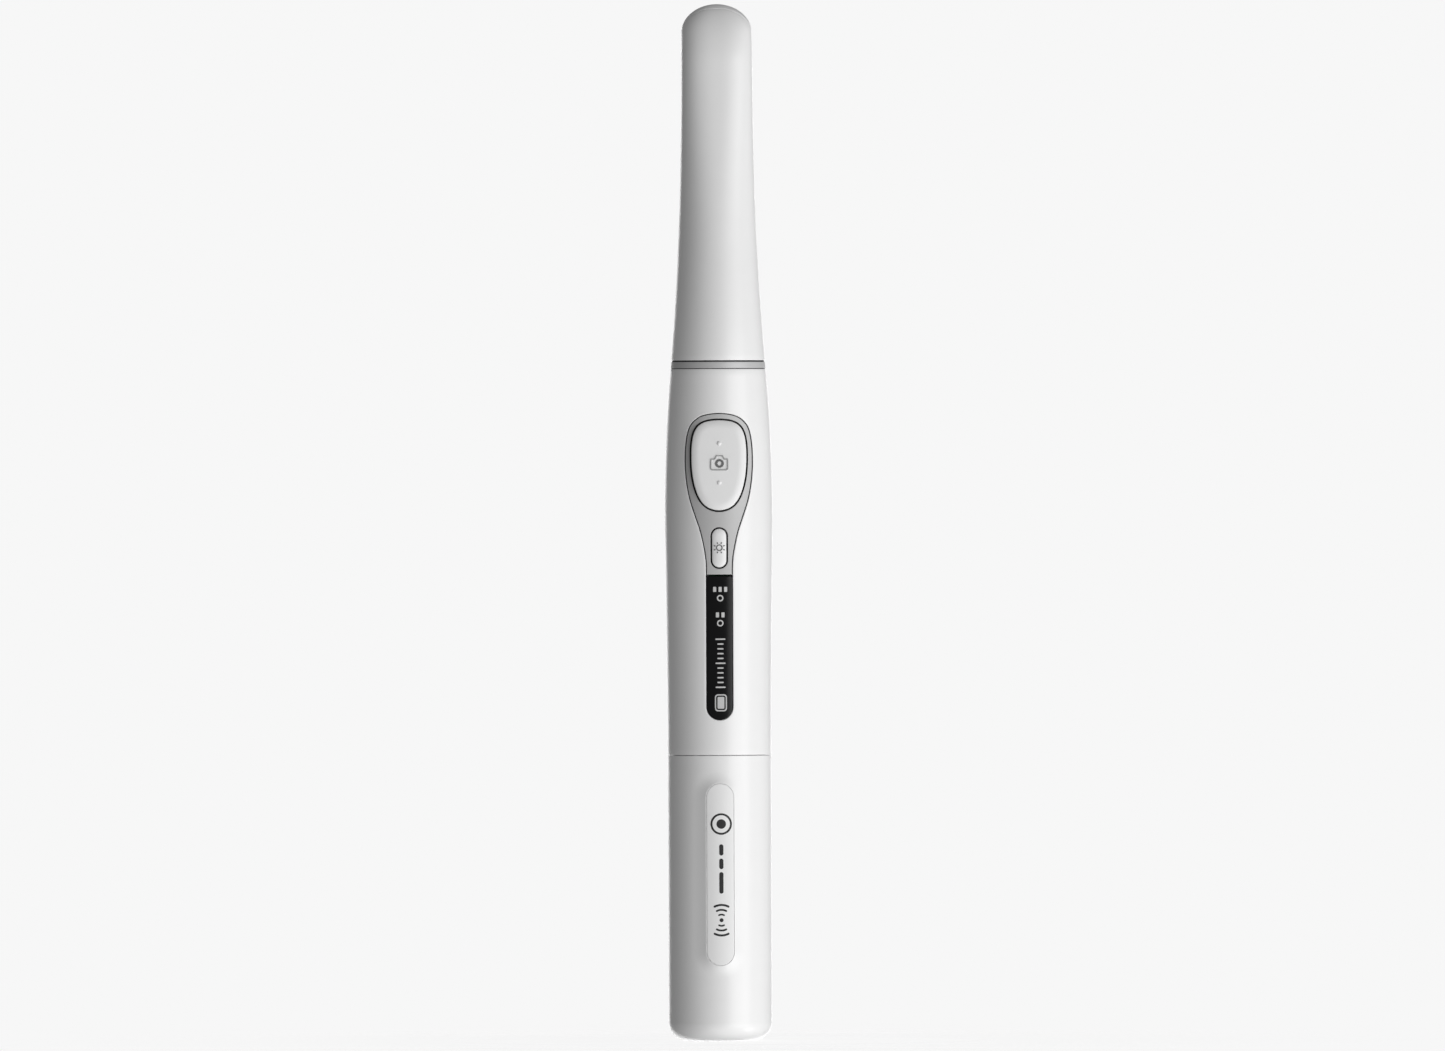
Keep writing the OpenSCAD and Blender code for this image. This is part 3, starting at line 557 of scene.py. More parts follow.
M["board"] = board_material("board_green", (0.015, 0.16, 0.055), (0.05, 0.30, 0.11))
M["board_white"] = board_material("board_white", (0.72, 0.73, 0.72), (0.60, 0.61, 0.62), cell=0.8)

SLOT_MAT = {"shell_white": "shell", "cover_white": "cover", "cell_wrap": "wrap", "nickel": "nickel", "dark_plastic": "dark",
            "board_green": "board", "can_metal": "can", "gold_contact": "gold", "collar_plastic": "collar",
            "seal_rubber": "seal", "screw_steel": "steel", "chassis_metal": "chassis", "chip_black": "chip",
            "connector_ivory": "ivory", "bezel_grey": "bezel", "adhesive": "adhesive", "window_black": "window",
            "guide_clear": "guide", "lamp_yellow": "lamp", "ring_grey": "ring", "sleeve_metal": "sleeve",
            "flex_amber": "flex", "lens_black": "lens_black", "clear_glass": "glass", "board_white": "board_white",
            "lamp_clear": "lamp_clear", "housing_steel": "housing", "magnet_metal": "magnet",
            "filter_glass": "filter", "spreader_copper": "copper", "key_white": "key", "coil_copper": "coil",
            "lens_glass": "lens_glass"}


# ---------------------------------------------------------------- outlines
def bezel_points():
    return [[2.75, 96], [3.2, 99], [3.9, 102], [4.9, 105], [5.85, 108],
            [6.45, 111], [6.75, 114], [6.8, 116], [6.72, 118.5], [6.4, 121], [5.75, 123], [4.3, 124.5],
            [2.6, 125.2], [0, 125.5], [-2.6, 125.2]]


def half_outline(step=0.42):
    """Right half of the opening for bezel plate and status window, from bottom to top."""
    t = np.linspace(0, math.pi / 2, 40)
    bottom = np.stack([WINDOW_HW * np.sin(t), 64.1 + WINDOW_HW - WINDOW_HW * np.cos(t)], 1)
    side = np.stack([np.full(60, WINDOW_HW), np.linspace(bottom[-1, 1], 92.6, 60)], 1)
    s = spline([[2.69, 90], [2.69, 93]] + bezel_points(), n=24)
    top = s[24:24 * 15 + 1]
    return resample(np.vstack([bottom, side[1:], top]), step=step)


def key_loop(step=0.25):
    k = [[1.6, 106.1], [2.9, 106.8], [3.75, 107.8], [4.4, 109], [5.05, 111], [5.42, 113], [5.6, 115], [5.64, 117],
         [5.58, 119], [5.28, 121], [4.75, 122.4], [3.85, 123.4], [2.3, 124]]
    pts = [[0, 105.8]] + k + [[0, 124.2]] + [[-x, z] for x, z in k[::-1]]
    p = spline(pts, closed=True, n=16)
    g = np.exp(-0.5 * (np.arange(-30, 31) / 10.0) ** 2)
    g /= g.sum()
    p = resample(p, n=600, closed=True)
    p = np.stack([np.convolve(np.concatenate([p[-30:, i], p[:, i], p[:30, i]]), g, "valid") for i in (0, 1)], 1)
    return ccw(resample(p, step=step, closed=True))


def half_normals(o):
    """Normals of a right-half outline that point away from the opening."""
    d = np.gradient(o, axis=0)
    n = np.stack([d[:, 1], -d[:, 0]], 1)
    n /= np.linalg.norm(n, axis=1, keepdims=True)
    n[0], n[-1] = [0, -1], [0, 1]
    return n


def both(half):
    """Closed loop from a right half, bottom to top."""
    m = half[::-1][1:-1] * [-1, 1]
    return np.vstack([half, m])


def lined_opening(b, R, wall, half, z0, z1, r, depth, ledge, dz=1.6, cove=None):
    """Outer and inner rows of a turned shell with its front opening, its rounded lip, wall and ledge."""
    nrm = half_normals(half)
    reach = cove[0] if cove else r
    edge = half + nrm * reach
    edge[:, 0] = np.maximum(edge[:, 0], 0)
    outer = shell_rows(R, 0, edge, z0 + 0.16, z1 - 0.16, dz=dz)
    rows = [edge]
    heights = [0.0]
    if cove:
        for s in cove[2]:
            rows.append(half + nrm * (reach - (reach - r) * s))
            heights.append(cove[1] * s * s)
        top_h = cove[1]
    else:
        top_h = 0.0
    for a in (22.5, 45, 67.5, 90):
        rows.append(half + nrm * (r * (1 - math.sin(math.radians(a)))))
        heights.append(top_h - r * (1 - math.cos(math.radians(a))))
    rows.append(half)
    heights.append(-depth)
    loops = [on_barrel(both(q), h, R) for q, h in zip(rows, heights)]
    if ledge is not None:
        inner = half - nrm * ledge
        loops.append(on_barrel(both(inner), -depth, R))
        loops.append(on_barrel(both(inner), -wall, R))
        b.rows(loops, closed=True)
        return outer, shell_rows(R, wall, inner, z0 + 0.16, z1 - 1.7, dz=dz)
    b.rows(loops, closed=True)
    v, f = fill([both(half)], (), 1.0)
    b.tris(on_barrel(v, -depth, R), f)
    return outer, None


# ---------------------------------------------------------------- handle shell
half = half_outline()
b = Build()
outer, inner = lined_opening(b, width_at, 1.5, half, SEAM_Z - 0.01, RING_Z0, 0.16, 0.9, 0.5)
b.rows(outer)
ncol = 128
phi = np.linspace(0, 2 * math.pi, ncol + 1)
circ = lambda r, z: np.stack([r * np.sin(phi), -r * np.cos(phi), np.full(len(phi), z)], 1)
rb, rt = float(width_at(SEAM_Z)), float(width_at(RING_Z0))
LIP, HALF_GAP = 0.1, 0.05
lz = SEAM_Z + HALF_GAP + LIP
b.rows([circ(float(width_at(lz)), lz)] + [circ(rb - LIP * (1 - math.cos(a)), lz - LIP * math.sin(a)) for a in np.radians([22.5, 45, 67.5, 90])]
       + [circ(rb - 1.5, lz - LIP), circ(float(width_at(lz)) - 1.5, lz)])
rt1 = float(width_at(RING_Z0 - 0.16))
b.rows([circ(rt1, RING_Z0 - 0.16)] + [circ(rt - 0.16 * (1 - math.cos(a)), RING_Z0 - 0.16 + 0.16 * math.sin(a)) for a in np.radians([22.5, 45, 67.5, 90])]
       + [circ(7.4, RING_Z0), circ(7.4, RING_Z0 - 1.7), circ(float(width_at(RING_Z0 - 1.7)) - 1.5, RING_Z0 - 1.7)])
b.rows(inner)
b.make("handle_shell_body", "handle", [M["shell"]], ["handle_shell"])

# ---------------------------------------------------------------- bezel plate
key = key_loop()
light = pill(1.57, 94.5, 102.5, step=0.2)
cut = 93.0
bz = half[half[:, 1] > cut + 0.2]
bz = np.vstack([[[np.interp(cut + 0.02, half[:, 1], half[:, 0]), cut + 0.02]], bz])
low = np.stack([np.linspace(-bz[0, 0] + 0.25, bz[0, 0] - 0.25, 16), np.full(16, cut + 0.02)], 1)
outer2 = ccw(np.vstack([bz, bz[::-1][1:] * [-1, 1], low]))
outer2 = outer2 - outward(outer2) * 0.2
outer2 = ccw(resample(outer2, step=0.3, closed=True))
b = Build()
plate(b, [outer2, key + outward(key) * 0.19, light + outward(light) * 0.17],
      lambda p, d: on_barrel(p, 0, width_at), lambda p: on_barrel(p, -BEZEL_T, width_at), r=0.08, rings=(0.14, 0.34), step=0.55)
b.make("bezel_plate_body", "handle", [M["bezel"]], ["bezel_plate"])

# ---------------------------------------------------------------- status window
wn = half[half[:, 1] < cut - 0.25]
wn = np.vstack([wn, [[WINDOW_HW, cut - 0.05]]])
topw = np.stack([np.linspace(WINDOW_HW - 0.25, -WINDOW_HW + 0.25, 20), np.full(20, cut - 0.05)], 1)
wloop = ccw(np.vstack([wn, topw, wn[::-1][:-1] * [-1, 1]]))
wloop = wloop - outward(wloop) * 0.08
b = Build()
plate(b, [wloop], lambda p, d: on_barrel(p, 0, width_at), lambda p: on_barrel(p, -BEZEL_T, width_at), r=0.1, rings=(0.14, 0.34), step=0.55)
b.make("status_window_body", "handle", [M["window"]], ["status_window"])


def dense(loop, step):
    """The loop with points added on its long sides."""
    out = []
    for a, q in zip(loop, np.roll(loop, -1, 0)):
        if np.linalg.norm(q - a) < 1e-4:
            continue
        n = max(1, int(math.ceil(np.linalg.norm(q - a) / step)))
        out += [a + (q - a) * k / n for k in range(n)]
    return np.array(out)


def marks(name, body, shapes, surf, lift, mat, step=0.22, sink=0.01, r=0.0):
    """Thin raised shapes on a surface; each shape is [outer, hole, ...]."""
    b = Build()
    for s in shapes:
        loops = [dense(ccw(np.asarray(q, float)), step * 0.8) for q in s]
        if r:
            plate(b, loops, lambda p, d: surf(p, lift), lambda p: surf(p, -sink), r=r, rings=(), step=step)
        else:
            v, f = fill(loops, (), step)
            b.tris(surf(v, lift), f)
            b.tris(surf(v, -sink), [t[::-1] for t in f])
            for q in loops:
                b.rows([surf(q, lift), surf(q, -sink)], closed=True)
    return b.make(name, body, [mat], weld=0.0008, sharp=40)


wsurf = lambda p, h: on_barrel(p, h, width_at)
X0 = 0.16
strip = []
for z in (88.5, 83.5):
    strip.append([circle(X0, z, 0.66, 40), circle(X0, z, 0.40, 32)])
for i in range(3):
    strip.append([bar(X0 - 1.41 + i * 1.1, X0 - 0.79 + i * 1.1, 89.75, 90.75)])
for i in range(2):
    strip.append([bar(X0 - 0.86 + i * 1.1, X0 - 0.24 + i * 1.1, 84.65, 85.65)])
for i in range(11):
    w = 1.0 if i % 5 == 0 else 0.62
    strip.append([bar(X0 + 0.02 - w, X0 + 0.02 + w, 80.3 - i * 0.96 - 0.14, 80.3 - i * 0.96 + 0.14, r=0.13)])


def plaque(d):
    """A plain rounded rectangle, drawn in by d."""
    c = X0 + 0.08
    return bar(c - 1.2 + d, c + 1.2 - d, 65.9 + d, 69.3 - d, r=0.6 - 0.8 * d)


strip.append([plaque(0), plaque(0.24)])
strip.append([plaque(0.52)])
marks("status_window_print", "handle", strip, wsurf, 0.02, M["print_light"])

# ---------------------------------------------------------------- capture key
KEY_TOP = 0.3


def flat_top(x, z, proud=KEY_TOP):
    return width_at(z) + proud - x * x / 180.0


def key_surface(p, d):
    p = np.asarray(p, float)
    drop = 0.42 * np.clip(1 - (d + 0.02) / 1.55, 0, 1) ** 2
    return np.stack([p[:, 0], -(flat_top(p[:, 0], p[:, 1]) - drop), p[:, 1]], 1)


b = Build()
kl = key - outward(key) * KEY_GAP / 2
plate(b, [kl], key_surface, lambda p: on_barrel(p, -1.4, width_at), r=0.12,
      rings=(0.1, 0.26, 0.46, 0.7, 0.98, 1.3, 1.62), step=0.5)
fl = resample(key + outward(key) * 0.3, step=0.5, closed=True)
plate(b, [fl], lambda p, d: on_barrel(p, -0.92, width_at), lambda p: on_barrel(p, -1.8, width_at), r=0.08, rings=(), step=1.2, mat=1)
yaxis = lambda z0: (lambda p: np.stack([p[:, 0], p[:, 2], z0 + p[:, 1]], 1))
b.turn([[0.0, -9.2], [1.6, -9.2], [1.6, -7.45], [1.45, -7.3], [0.0, -7.3]], 48, axis=yaxis(114.4))
b.make("capture_key_cap", "capture_key", [M["key"], M["seal"]], ["capture_button"])


def chaikin(p, n=2, t=0.22):
    p = np.array(p, float)
    for _ in range(n):
        q = np.roll(p, -1, 0)
        p = np.stack([(1 - t) * p + t * q, t * p + (1 - t) * q], 1).reshape(-1, 2)
    return p


ksurf = lambda p, h: np.stack([p[:, 0], -(flat_top(p[:, 0], p[:, 1]) + h), p[:, 1]], 1)
cam_o = chaikin([[-1.72, 113.98], [1.9, 113.98], [1.9, 116.34], [1.16, 116.36], [0.8, 117.04], [-0.53, 117.04], [-0.89, 116.36], [-1.72, 116.34]], 1, 0.1)
cam_o = ccw(resample(cam_o, step=0.1, closed=True))
cam_i = chaikin([[-1.48, 114.22], [1.66, 114.22], [1.66, 116.1], [1.02, 116.12], [0.66, 116.8], [-0.39, 116.8], [-0.75, 116.12], [-1.48, 116.1]], 1, 0.1)
cam_i = ccw(resample(cam_i, step=0.1, closed=True))
icon = [[cam_o, cam_i]]
# Painted shade: the camera outline is raised key plastic coloured darker grey to stand in for its shade.
marks("capture_key_icon", "capture_key", icon, ksurf, 0.16, M["icon_line"], step=0.12, sink=0.03, r=0.04)
# Painted shade: the raised ring is coloured near black in place of its shade on the white key.
marks("capture_key_icon_ring", "capture_key", [[circle(0.14, 115.38, 0.86, 48), circle(0.14, 115.38, 0.44, 36)]], ksurf, 0.16,
      M["icon"], step=0.12, sink=0.03, r=0.05)
bump = Build()
for z in (119.4, 111.55):
    prof = []
    for a in np.radians(np.linspace(90, 0, 9)):
        prof.append([0.42 * math.cos(a) + 0.0005, a])
    t = np.arange(32) * 2 * math.pi / 32
    rws = []
    for rr, a in prof:
        p2 = np.stack([0.06 + rr * np.cos(t), z + rr * np.sin(t)], 1)
        rws.append(ksurf(p2, 0.28 * math.sin(a)))
    p2 = np.stack([0.06 + 0.42 * np.cos(t), z + 0.42 * np.sin(t)], 1)
    rws.append(ksurf(p2, -0.05))
    bump.rows(rws, closed=True)
    bump.fan(rws[0])
    bump.fan(rws[-1])
bump.make("capture_key_dots", "capture_key", [M["key"]])


# ---------------------------------------------------------------- light key
def light_surface(p, d):
    p = np.asarray(p, float)
    drop = 0.3 * np.clip(1 - (d + 0.02) / 1.2, 0, 1) ** 2
    return np.stack([p[:, 0], -(width_at(p[:, 1]) + 0.25 - drop - p[:, 0] ** 2 / 90), p[:, 1]], 1)


b = Build()
ll = light - outward(light) * KEY_GAP / 2
plate(b, [ll], light_surface, lambda p: on_barrel(p, -1.4, width_at), r=0.1, rings=(0.1, 0.25, 0.42, 0.62, 0.85), step=0.35)
fl = resample(light + outward(light) * 0.3, step=0.4, closed=True)
plate(b, [fl], lambda p, d: on_barrel(p, -0.92, width_at), lambda p: on_barrel(p, -1.8, width_at), r=0.08, rings=(), step=1.0, mat=1)
b.turn([[0.0, -9.2], [1.0, -9.2], [1.0, -7.4], [0.9, -7.3], [0.0, -7.3]], 40, axis=yaxis(98.5))
b.make("light_key_cap", "light_key", [M["key"], M["seal"]], ["light_button"])
def lsurf(p, h):
    q = light_surface(p, dist_to(p, [ll]))
    q[:, 1] -= h
    return q



sun = [[circle(0.05, 98.55, 0.66, 32), circle(0.05, 98.55, 0.46, 28)]]
for k in range(8):
    a = math.radians(45 * k + 22.5)
    c, s = math.cos(a), math.sin(a)
    q = bar(0.84, 1.18, -0.11, 0.11, r=0.07)
    sun.append([np.stack([0.05 + q[:, 0] * c - q[:, 1] * s, 98.55 + q[:, 0] * s + q[:, 1] * c], 1)])
# Painted shade: the raised sun icon is coloured near black in place of its shade on the white key.
marks("light_key_icon", "light_key", sun, lsurf, 0.12, M["icon"], step=0.14, sink=0.03, r=0.05)

# ---------------------------------------------------------------- battery module
const_r = lambda z: np.full(np.shape(z), BASE_R)
pz0, pz1, phw = 15.1, 51.5, 2.75
t = np.linspace(0, math.pi / 2, 40)
pad_half = np.vstack([np.stack([phw * np.sin(t), pz0 + phw - phw * np.cos(t)], 1),
                      np.stack([np.full(60, phw), np.linspace(pz0 + phw, pz1 - phw, 60)], 1)[1:],
                      np.stack([phw * np.cos(t), pz1 - phw + phw * np.sin(t)], 1)[1:]])
pad_half = resample(pad_half, step=0.4)
b = Build()
outer, _ = lined_opening(b, const_r, 1.2, pad_half, BASE_CORNER - 0.16, SEAM_Z, 0.07, 0.5, None,
                         cove=(2.5, 0.5, np.linspace(0, 1, 13)[1:]))
b.rows(outer)
b.rows([circ(BASE_R - BASE_CORNER * (1 - math.cos(a)), BASE_CORNER - BASE_CORNER * math.sin(a)) for a in np.radians(np.linspace(0, 90, 25))])
mz = SEAM_Z - 0.16
b.rows([circ(BASE_R, mz)] + [circ(BASE_R - LIP * (1 - math.cos(a)), SEAM_Z - HALF_GAP - LIP + LIP * math.sin(a)) for a in np.radians([0, 22.5, 45, 67.5, 90])]
       + [circ(BASE_R - 1.2, SEAM_Z - HALF_GAP)] + [circ(BASE_R - 1.2, z) for z in np.linspace(SEAM_Z - HALF_GAP, 4.2, 20)][1:]
       + [circ(BASE_R - 1.2 - 2.8 * (1 - math.cos(a)), 4.2 - 2.8 * math.sin(a)) for a in np.radians(np.linspace(0, 90, 9))])
hole = [circle(x, 0, 1.0, 32) for x in (-2.5, 2.5)]
rim = lambda r: np.stack([r * np.sin(phi[:-1]), -r * np.cos(phi[:-1])], 1)
flatz = lambda v, z: np.stack([v[:, 0], v[:, 1], np.full(len(v), float(z))], 1)
hr = [h + outward(h) * 0.15 for h in hole]
v, f = fill([rim(BASE_R - BASE_CORNER)] + hr, (), 1.0)
b.tris(flatz(v, 0), f)
v, f = fill([rim(BASE_R - 1.2 - 2.8)] + hole, (), 1.0)
b.tris(flatz(v, 1.4), f)
for h in hole:
    b.rows([flatz(h + outward(h) * 0.15 * (1 - math.sin(a)), 0.15 * (1 - math.cos(a))) for a in np.radians([0, 30, 60, 90])] + [flatz(h, 1.4)], closed=True)
b.make("module_shell_body", "battery_module", [M["shell"]], ["module_shell"])

b = Build()
pad = pill(phw - 0.04, pz0 + 0.04, pz1 - 0.04, step=0.3)
plate(b, [pad], lambda p, d: on_barrel(p, 0.5, const_r), lambda p: on_barrel(p, -0.49, const_r), r=0.09, rings=(0.12, 0.3), step=0.6)
b.make("antenna_cover_body", "battery_module", [M["cover"]], ["antenna_cover"])
psurf = lambda p, h: on_barrel(p, 0.5 + h, const_r)
PX = 0.2
pm = [[circle(PX, 43.4, 2.15, 72), circle(PX, 43.4, 1.75, 64)], [circle(PX, 43.4, 0.95, 40)]]
for z0, z1 in ((37.1, 39.35), (34.4, 36.5), (29.5, 33.8)):
    pm.append([pill(0.42, z0, z1, step=0.12, cx=PX)])
pm.append([circle(PX, 24.2, 0.4, 28)])
for rr, w in ((1.12, 0.34), (2.06, 0.38), (3.04, 0.42)):
    for a in (90, 270):
        pm.append([arc_band(PX, 24.2, rr, w, a - 27, a + 27)])
marks("antenna_cover_print", "battery_module", pm, psurf, 0.012, M["print_dark"], step=0.3)

# ---------------------------------------------------------------- trim ring and neck seal
def rounded_band(name, z0, z1, inset, r, mat, node, inner_r=7.36):
    b = Build()
    R0, R1 = float(width_at(z0)) - inset, float(width_at(z1)) - inset
    prof = [[inner_r, z0]] + [[R0 - r * (1 - math.sin(a)), z0 + r * (1 - math.cos(a))] for a in np.radians([0, 22.5, 45, 67.5, 90])]
    prof += [[float(width_at(z)) - inset, z] for z in np.linspace(z0 + r, z1 - r, 6)[1:-1]]
    prof += [[R1 - r * (1 - math.cos(a)), z1 - r * (1 - math.sin(a))] for a in np.radians([0, 22.5, 45, 67.5, 90])]
    prof += [[inner_r, z1], [inner_r, z0]]
    b.turn(prof, 192)
    b.make(name, "handle", [mat], [node] if node else [])


rounded_band("trim_ring_body", RING_Z0 + 0.14, RING_Z1, 0.05, 0.1, M["ring"], "trim_ring")
# Painted shade: a thin dark band under the trim ring stands in for the shadow in the joint; it replaces no part.
rounded_band("trim_ring_shade_band", RING_Z0 + 0.005, RING_Z0 + 0.17, 0.16, 0.05, M["seal"], None)
rounded_band("neck_seal_body", RING_Z1, NECK_Z, 0.22, 0.06, M["seal"], "neck_seal")


# ---------------------------------------------------------------- neck and head shells
def part_y(z, o):
    z = np.asarray(z, float)
    s = (part_line(z + 0.05) - part_line(z - 0.05)) / 0.1
    return part_line(z) + o * np.sqrt(1 + s * s)


def top_of(o):
    lo, hi = 203.0, TIP - 0.01
    for _ in range(60):
        m = (lo + hi) / 2
        a, c, bf, nf, bb, nb = ring_dims(m)
        if c - bb < part_y(m, o):
            lo = m
        else:
            hi = m
    return lo


def part_t(z, o):
    a, c, bf, nf, bb, nb = ring_dims(z)
    d = part_y(z, o) - c
    s = np.clip(np.where(d >= 0, d / bf, d / bb), -1, 1)
    return np.where(s >= 0, np.arcsin(np.abs(s) ** (nf / 2)), -np.arcsin(np.abs(s) ** (nb / 2)))


def lens_to_world(p):
    """Local points, y along the optical axis, to the part's frame."""
    p = np.asarray(p, float)
    c, s = math.cos(TILT), math.sin(TILT)
    return np.stack([p[:, 0], LENS_Y + p[:, 1] * c + p[:, 2] * s, LENS_Z - p[:, 1] * s + p[:, 2] * c], 1)


LENS_Y = 6.4395
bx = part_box("lens_bezel")
LENS_Y = ((bx[0].y + bx[1].y) / 2 / MM) - 5.25 * math.cos(TILT)


def front_y(x, z, w=0.0):
    a, c, bf, nf, bb, nb = ring_dims(z)
    a, bf = a - w, bf - w
    return c + bf * np.maximum(1 - np.abs(x / a) ** nf, 0) ** (1 / nf)


def on_face(rho, theta, w=0.0):
    """Where a line parallel to the optical axis, at polar place rho, theta, meets the front face."""
    lx, lz = rho * np.cos(theta), rho * np.sin(theta)
    c, s = math.cos(TILT), math.sin(TILT)
    y = np.full(np.shape(theta), 5.9)
    for _ in range(40):
        z = LENS_Z - y * s + lz * c
        target = front_y(lx, z, w)
        y = y + (target - (LENS_Y + y * c + lz * s)) / (c + 0.14 * s)
    return np.stack([lx, y, lz], -1)


BOSS = 6.25
theta = np.radians(np.linspace(-90, 90, 61))
hole_r = lens_to_world(on_face(BOSS, theta))
hole_i = lens_to_world(on_face(BOSS, theta, 1.1))
ZT = {}


def seam_heights(o):
    """Row heights of a shell whose edge sits o beyond the parting surface."""
    zt = ZT[o]
    a = np.linspace(NECK_Z + 0.16, hole_r[0, 2], 52)[:-1]
    m = hole_r[:, 2]
    u = np.linspace(0, 1, 46)[1:]
    e = hole_r[-1, 2]
    c = e + (zt - e) * (1 - (1 - u) ** 2)
    return a, m, c


def front_rows(o, w=0.0, ncol=44):
    """Right-half rows from the seam to the lens opening or the centre line."""
    a, m, c = seam_heights(o)
    rows = []
    edge = hole_r if not w else hole_i
    for k, z in enumerate(np.concatenate([a, m, c])):
        zz = min(z, ZT[o] - 1e-4)
        t0 = float(part_t(zz, o))
        if z >= ZT[o] - 1e-6:
            t0 = -math.pi / 2
        t1 = math.pi / 2
        i = k - len(a)
        if 0 <= i < len(m):
            A, C, B, n = ring_dims(z)[:4]
            if w:
                A = A - w
            xx = min(abs(edge[i, 0]), float(A) * 0.999)
            t1 = math.acos((xx / float(A)) ** (float(n) / 2))
        u = np.linspace(0, 1, ncol + 1)
        rows.append((z, t0 + (t1 - t0) * u))
    out = []
    for k, (z, t) in enumerate(rows):
        p = ring_point(t, z, w)
        i = k - len(a)
        if 0 <= i < len(m):
            p[-1] = edge[i]
            p[-1, 0] = max(p[-1, 0], 0)
        out.append(p)
    return out


def cap_rows(o, w=0.0, ncol=44):
    """Right-half rows of the tip above the parting surface's top."""
    u = np.linspace(0, 1, 12)[1:]
    zt = ZT[o]
    out = []
    for k in u:
        z = zt + (TIP - zt) * math.sin(k * math.pi / 2)
        out.append(ring_point(np.linspace(-math.pi / 2, math.pi / 2, ncol + 1), min(z, TIP - 1e-5), w))
    return out


def seam_strip(o_edge, o_line, sign, w=1.1):
    """Rounded lip along the seam: points from the outer edge down the parting face to the inner edge."""
    steps = []
    for a in (0, 30, 60, 90):
        f = 1 - math.sin(math.radians(a))
        o = o_line + (o_edge - o_line) * f
        if o not in ZT:
            ZT[o] = top_of(o)
        steps.append((o, abs(o_edge - o_line) * (1 - math.cos(math.radians(a)))))
    return steps


def edge_line(o, depth, zs_from):
    """Seam points (right half) for edge offset o, sunk depth below the surface."""
    if o not in ZT:
        ZT[o] = top_of(o)
    a, m, c0 = seam_heights(zs_from)
    zt0, zt = ZT[zs_from], ZT[o]
    e = hole_r[-1, 2]
    c = e + (c0 - e) * (zt - e) / (zt0 - e)
    pts = []
    zz = np.concatenate([a, m, c])
    for z in zz:
        q = min(z, zt - 1e-4)
        t0 = float(part_t(q, o)) if z < zt - 1e-6 else -math.pi / 2
        pts.append(ring_point(np.array([t0]), z, depth)[0])
    return np.array(pts)


mirror = lambda rows: [r * [-1, 1, 1] for r in rows]
EDGE = 0.16
LINE = 0.04


def neck_foot(b, t_lo, t_hi, w=1.1, n=64):
    """Rounded bottom rim of a neck shell between two ring angles, and its seat ring."""
    t = np.linspace(t_lo, t_hi, n + 1)
    rows = []
    for a in np.radians([0, 30, 60, 90]):
        dz, dr = 0.16 * (1 - math.sin(a)), 0.16 * (1 - math.cos(a))
        rows.append(ring_point(t, NECK_Z + dz, 0) * 1.0)
        if dr:
            p = ring_point(t, NECK_Z + dz, dr)
            rows[-1] = p
    rows.append(ring_point(t, NECK_Z, 1.9))
    rows.append(ring_point(t, NECK_Z + 2.4, 1.9))
    rows.append(ring_point(t, NECK_Z + 2.4, w))
    return rows


def shell_half(front):
    sgn = 1 if front else -1
    o_edge, o_line = (EDGE, LINE) if front else (-EDGE, -LINE)
    return sgn, o_edge, o_line


# front shell
b = Build()
ZT[EDGE], ZT[-EDGE], ZT[LINE], ZT[-LINE] = top_of(EDGE), top_of(-EDGE), top_of(LINE), top_of(-LINE)
rows = front_rows(EDGE) + cap_rows(EDGE)
for r in (rows, mirror(rows)):
    b.rows(r)
rows_i = front_rows(EDGE, 1.1) + cap_rows(EDGE, 1.1)
for r in (rows_i, mirror(rows_i)):
    b.rows(r)
lip = [edge_line(o, d, EDGE) for o, d in seam_strip(EDGE, LINE, 1)]
lip.append(edge_line(LINE, 1.0, EDGE))
lip.append(np.array([r[0] for r in front_rows(EDGE, 1.1)]))
for r in (lip, mirror(lip)):
    b.rows(r)
# the foot: outer edge row to inner row, closed across the bottom
o_row, i_row = rows[0], rows_i[0]
foot = [o_row]
for a in np.radians([30, 60, 90]):
    p = ring_point(np.linspace(float(part_t(NECK_Z + 0.16, EDGE)), math.pi / 2, 45), NECK_Z + 0.16 * (1 - math.sin(a)), 0.16 * (1 - math.cos(a)))
    foot.append(p)
tt = np.linspace(float(part_t(NECK_Z + 0.16, EDGE)), math.pi / 2, 45)
foot.append(ring_point(tt, NECK_Z, 1.1))
foot.append(i_row)
for r in (foot, mirror(foot)):
    b.rows(r)
# the boss round the lens bezel
full = np.radians(np.concatenate([np.linspace(-90, 90, 61), np.linspace(90, 270, 61)[1:-1]]))
flatp = lambda r, y: np.stack([r * np.cos(full), np.full(len(full), float(y)), r * np.sin(full)], 1)
face0 = on_face(BOSS, full)
loops = [lens_to_world(face0)]
FACE = 5.75
for s in np.linspace(0, 1, 10)[1:]:
    r = BOSS - 0.62 * s
    g = on_face(r, full)
    k = s * s * (3 - 2 * s)
    p = g.copy()
    p[:, 1] = g[:, 1] * (1 - k) + (FACE + 0.06) * k
    loops.append(lens_to_world(p))
for r, y in ((5.5, FACE + 0.045), (5.3, FACE + 0.02), (5.16, FACE + 0.0), (5.08, FACE - 0.04), (5.04, FACE - 0.12), (5.04, 4.72)):
    loops.append(lens_to_world(flatp(r, y)))
inner_l = lens_to_world(on_face(BOSS, full, 1.1))
loops.append(inner_l)
b.rows(loops, closed=True)
b.make("head_front_shell_body", "handle", [M["shell"]], ["head_front_shell"], weld=0.004)


# back shell
def back_rows(o, w=0.0, ncol=44):
    a, m, c = seam_heights(o)
    out = []
    for z in np.concatenate([a, m, c]):
        q = min(z, ZT[o] - 1e-4)
        t0 = float(part_t(q, o)) if z < ZT[o] - 1e-6 else -math.pi / 2
        out.append(ring_point(np.linspace(t0, -math.pi / 2, ncol + 1), z, w))
    return out


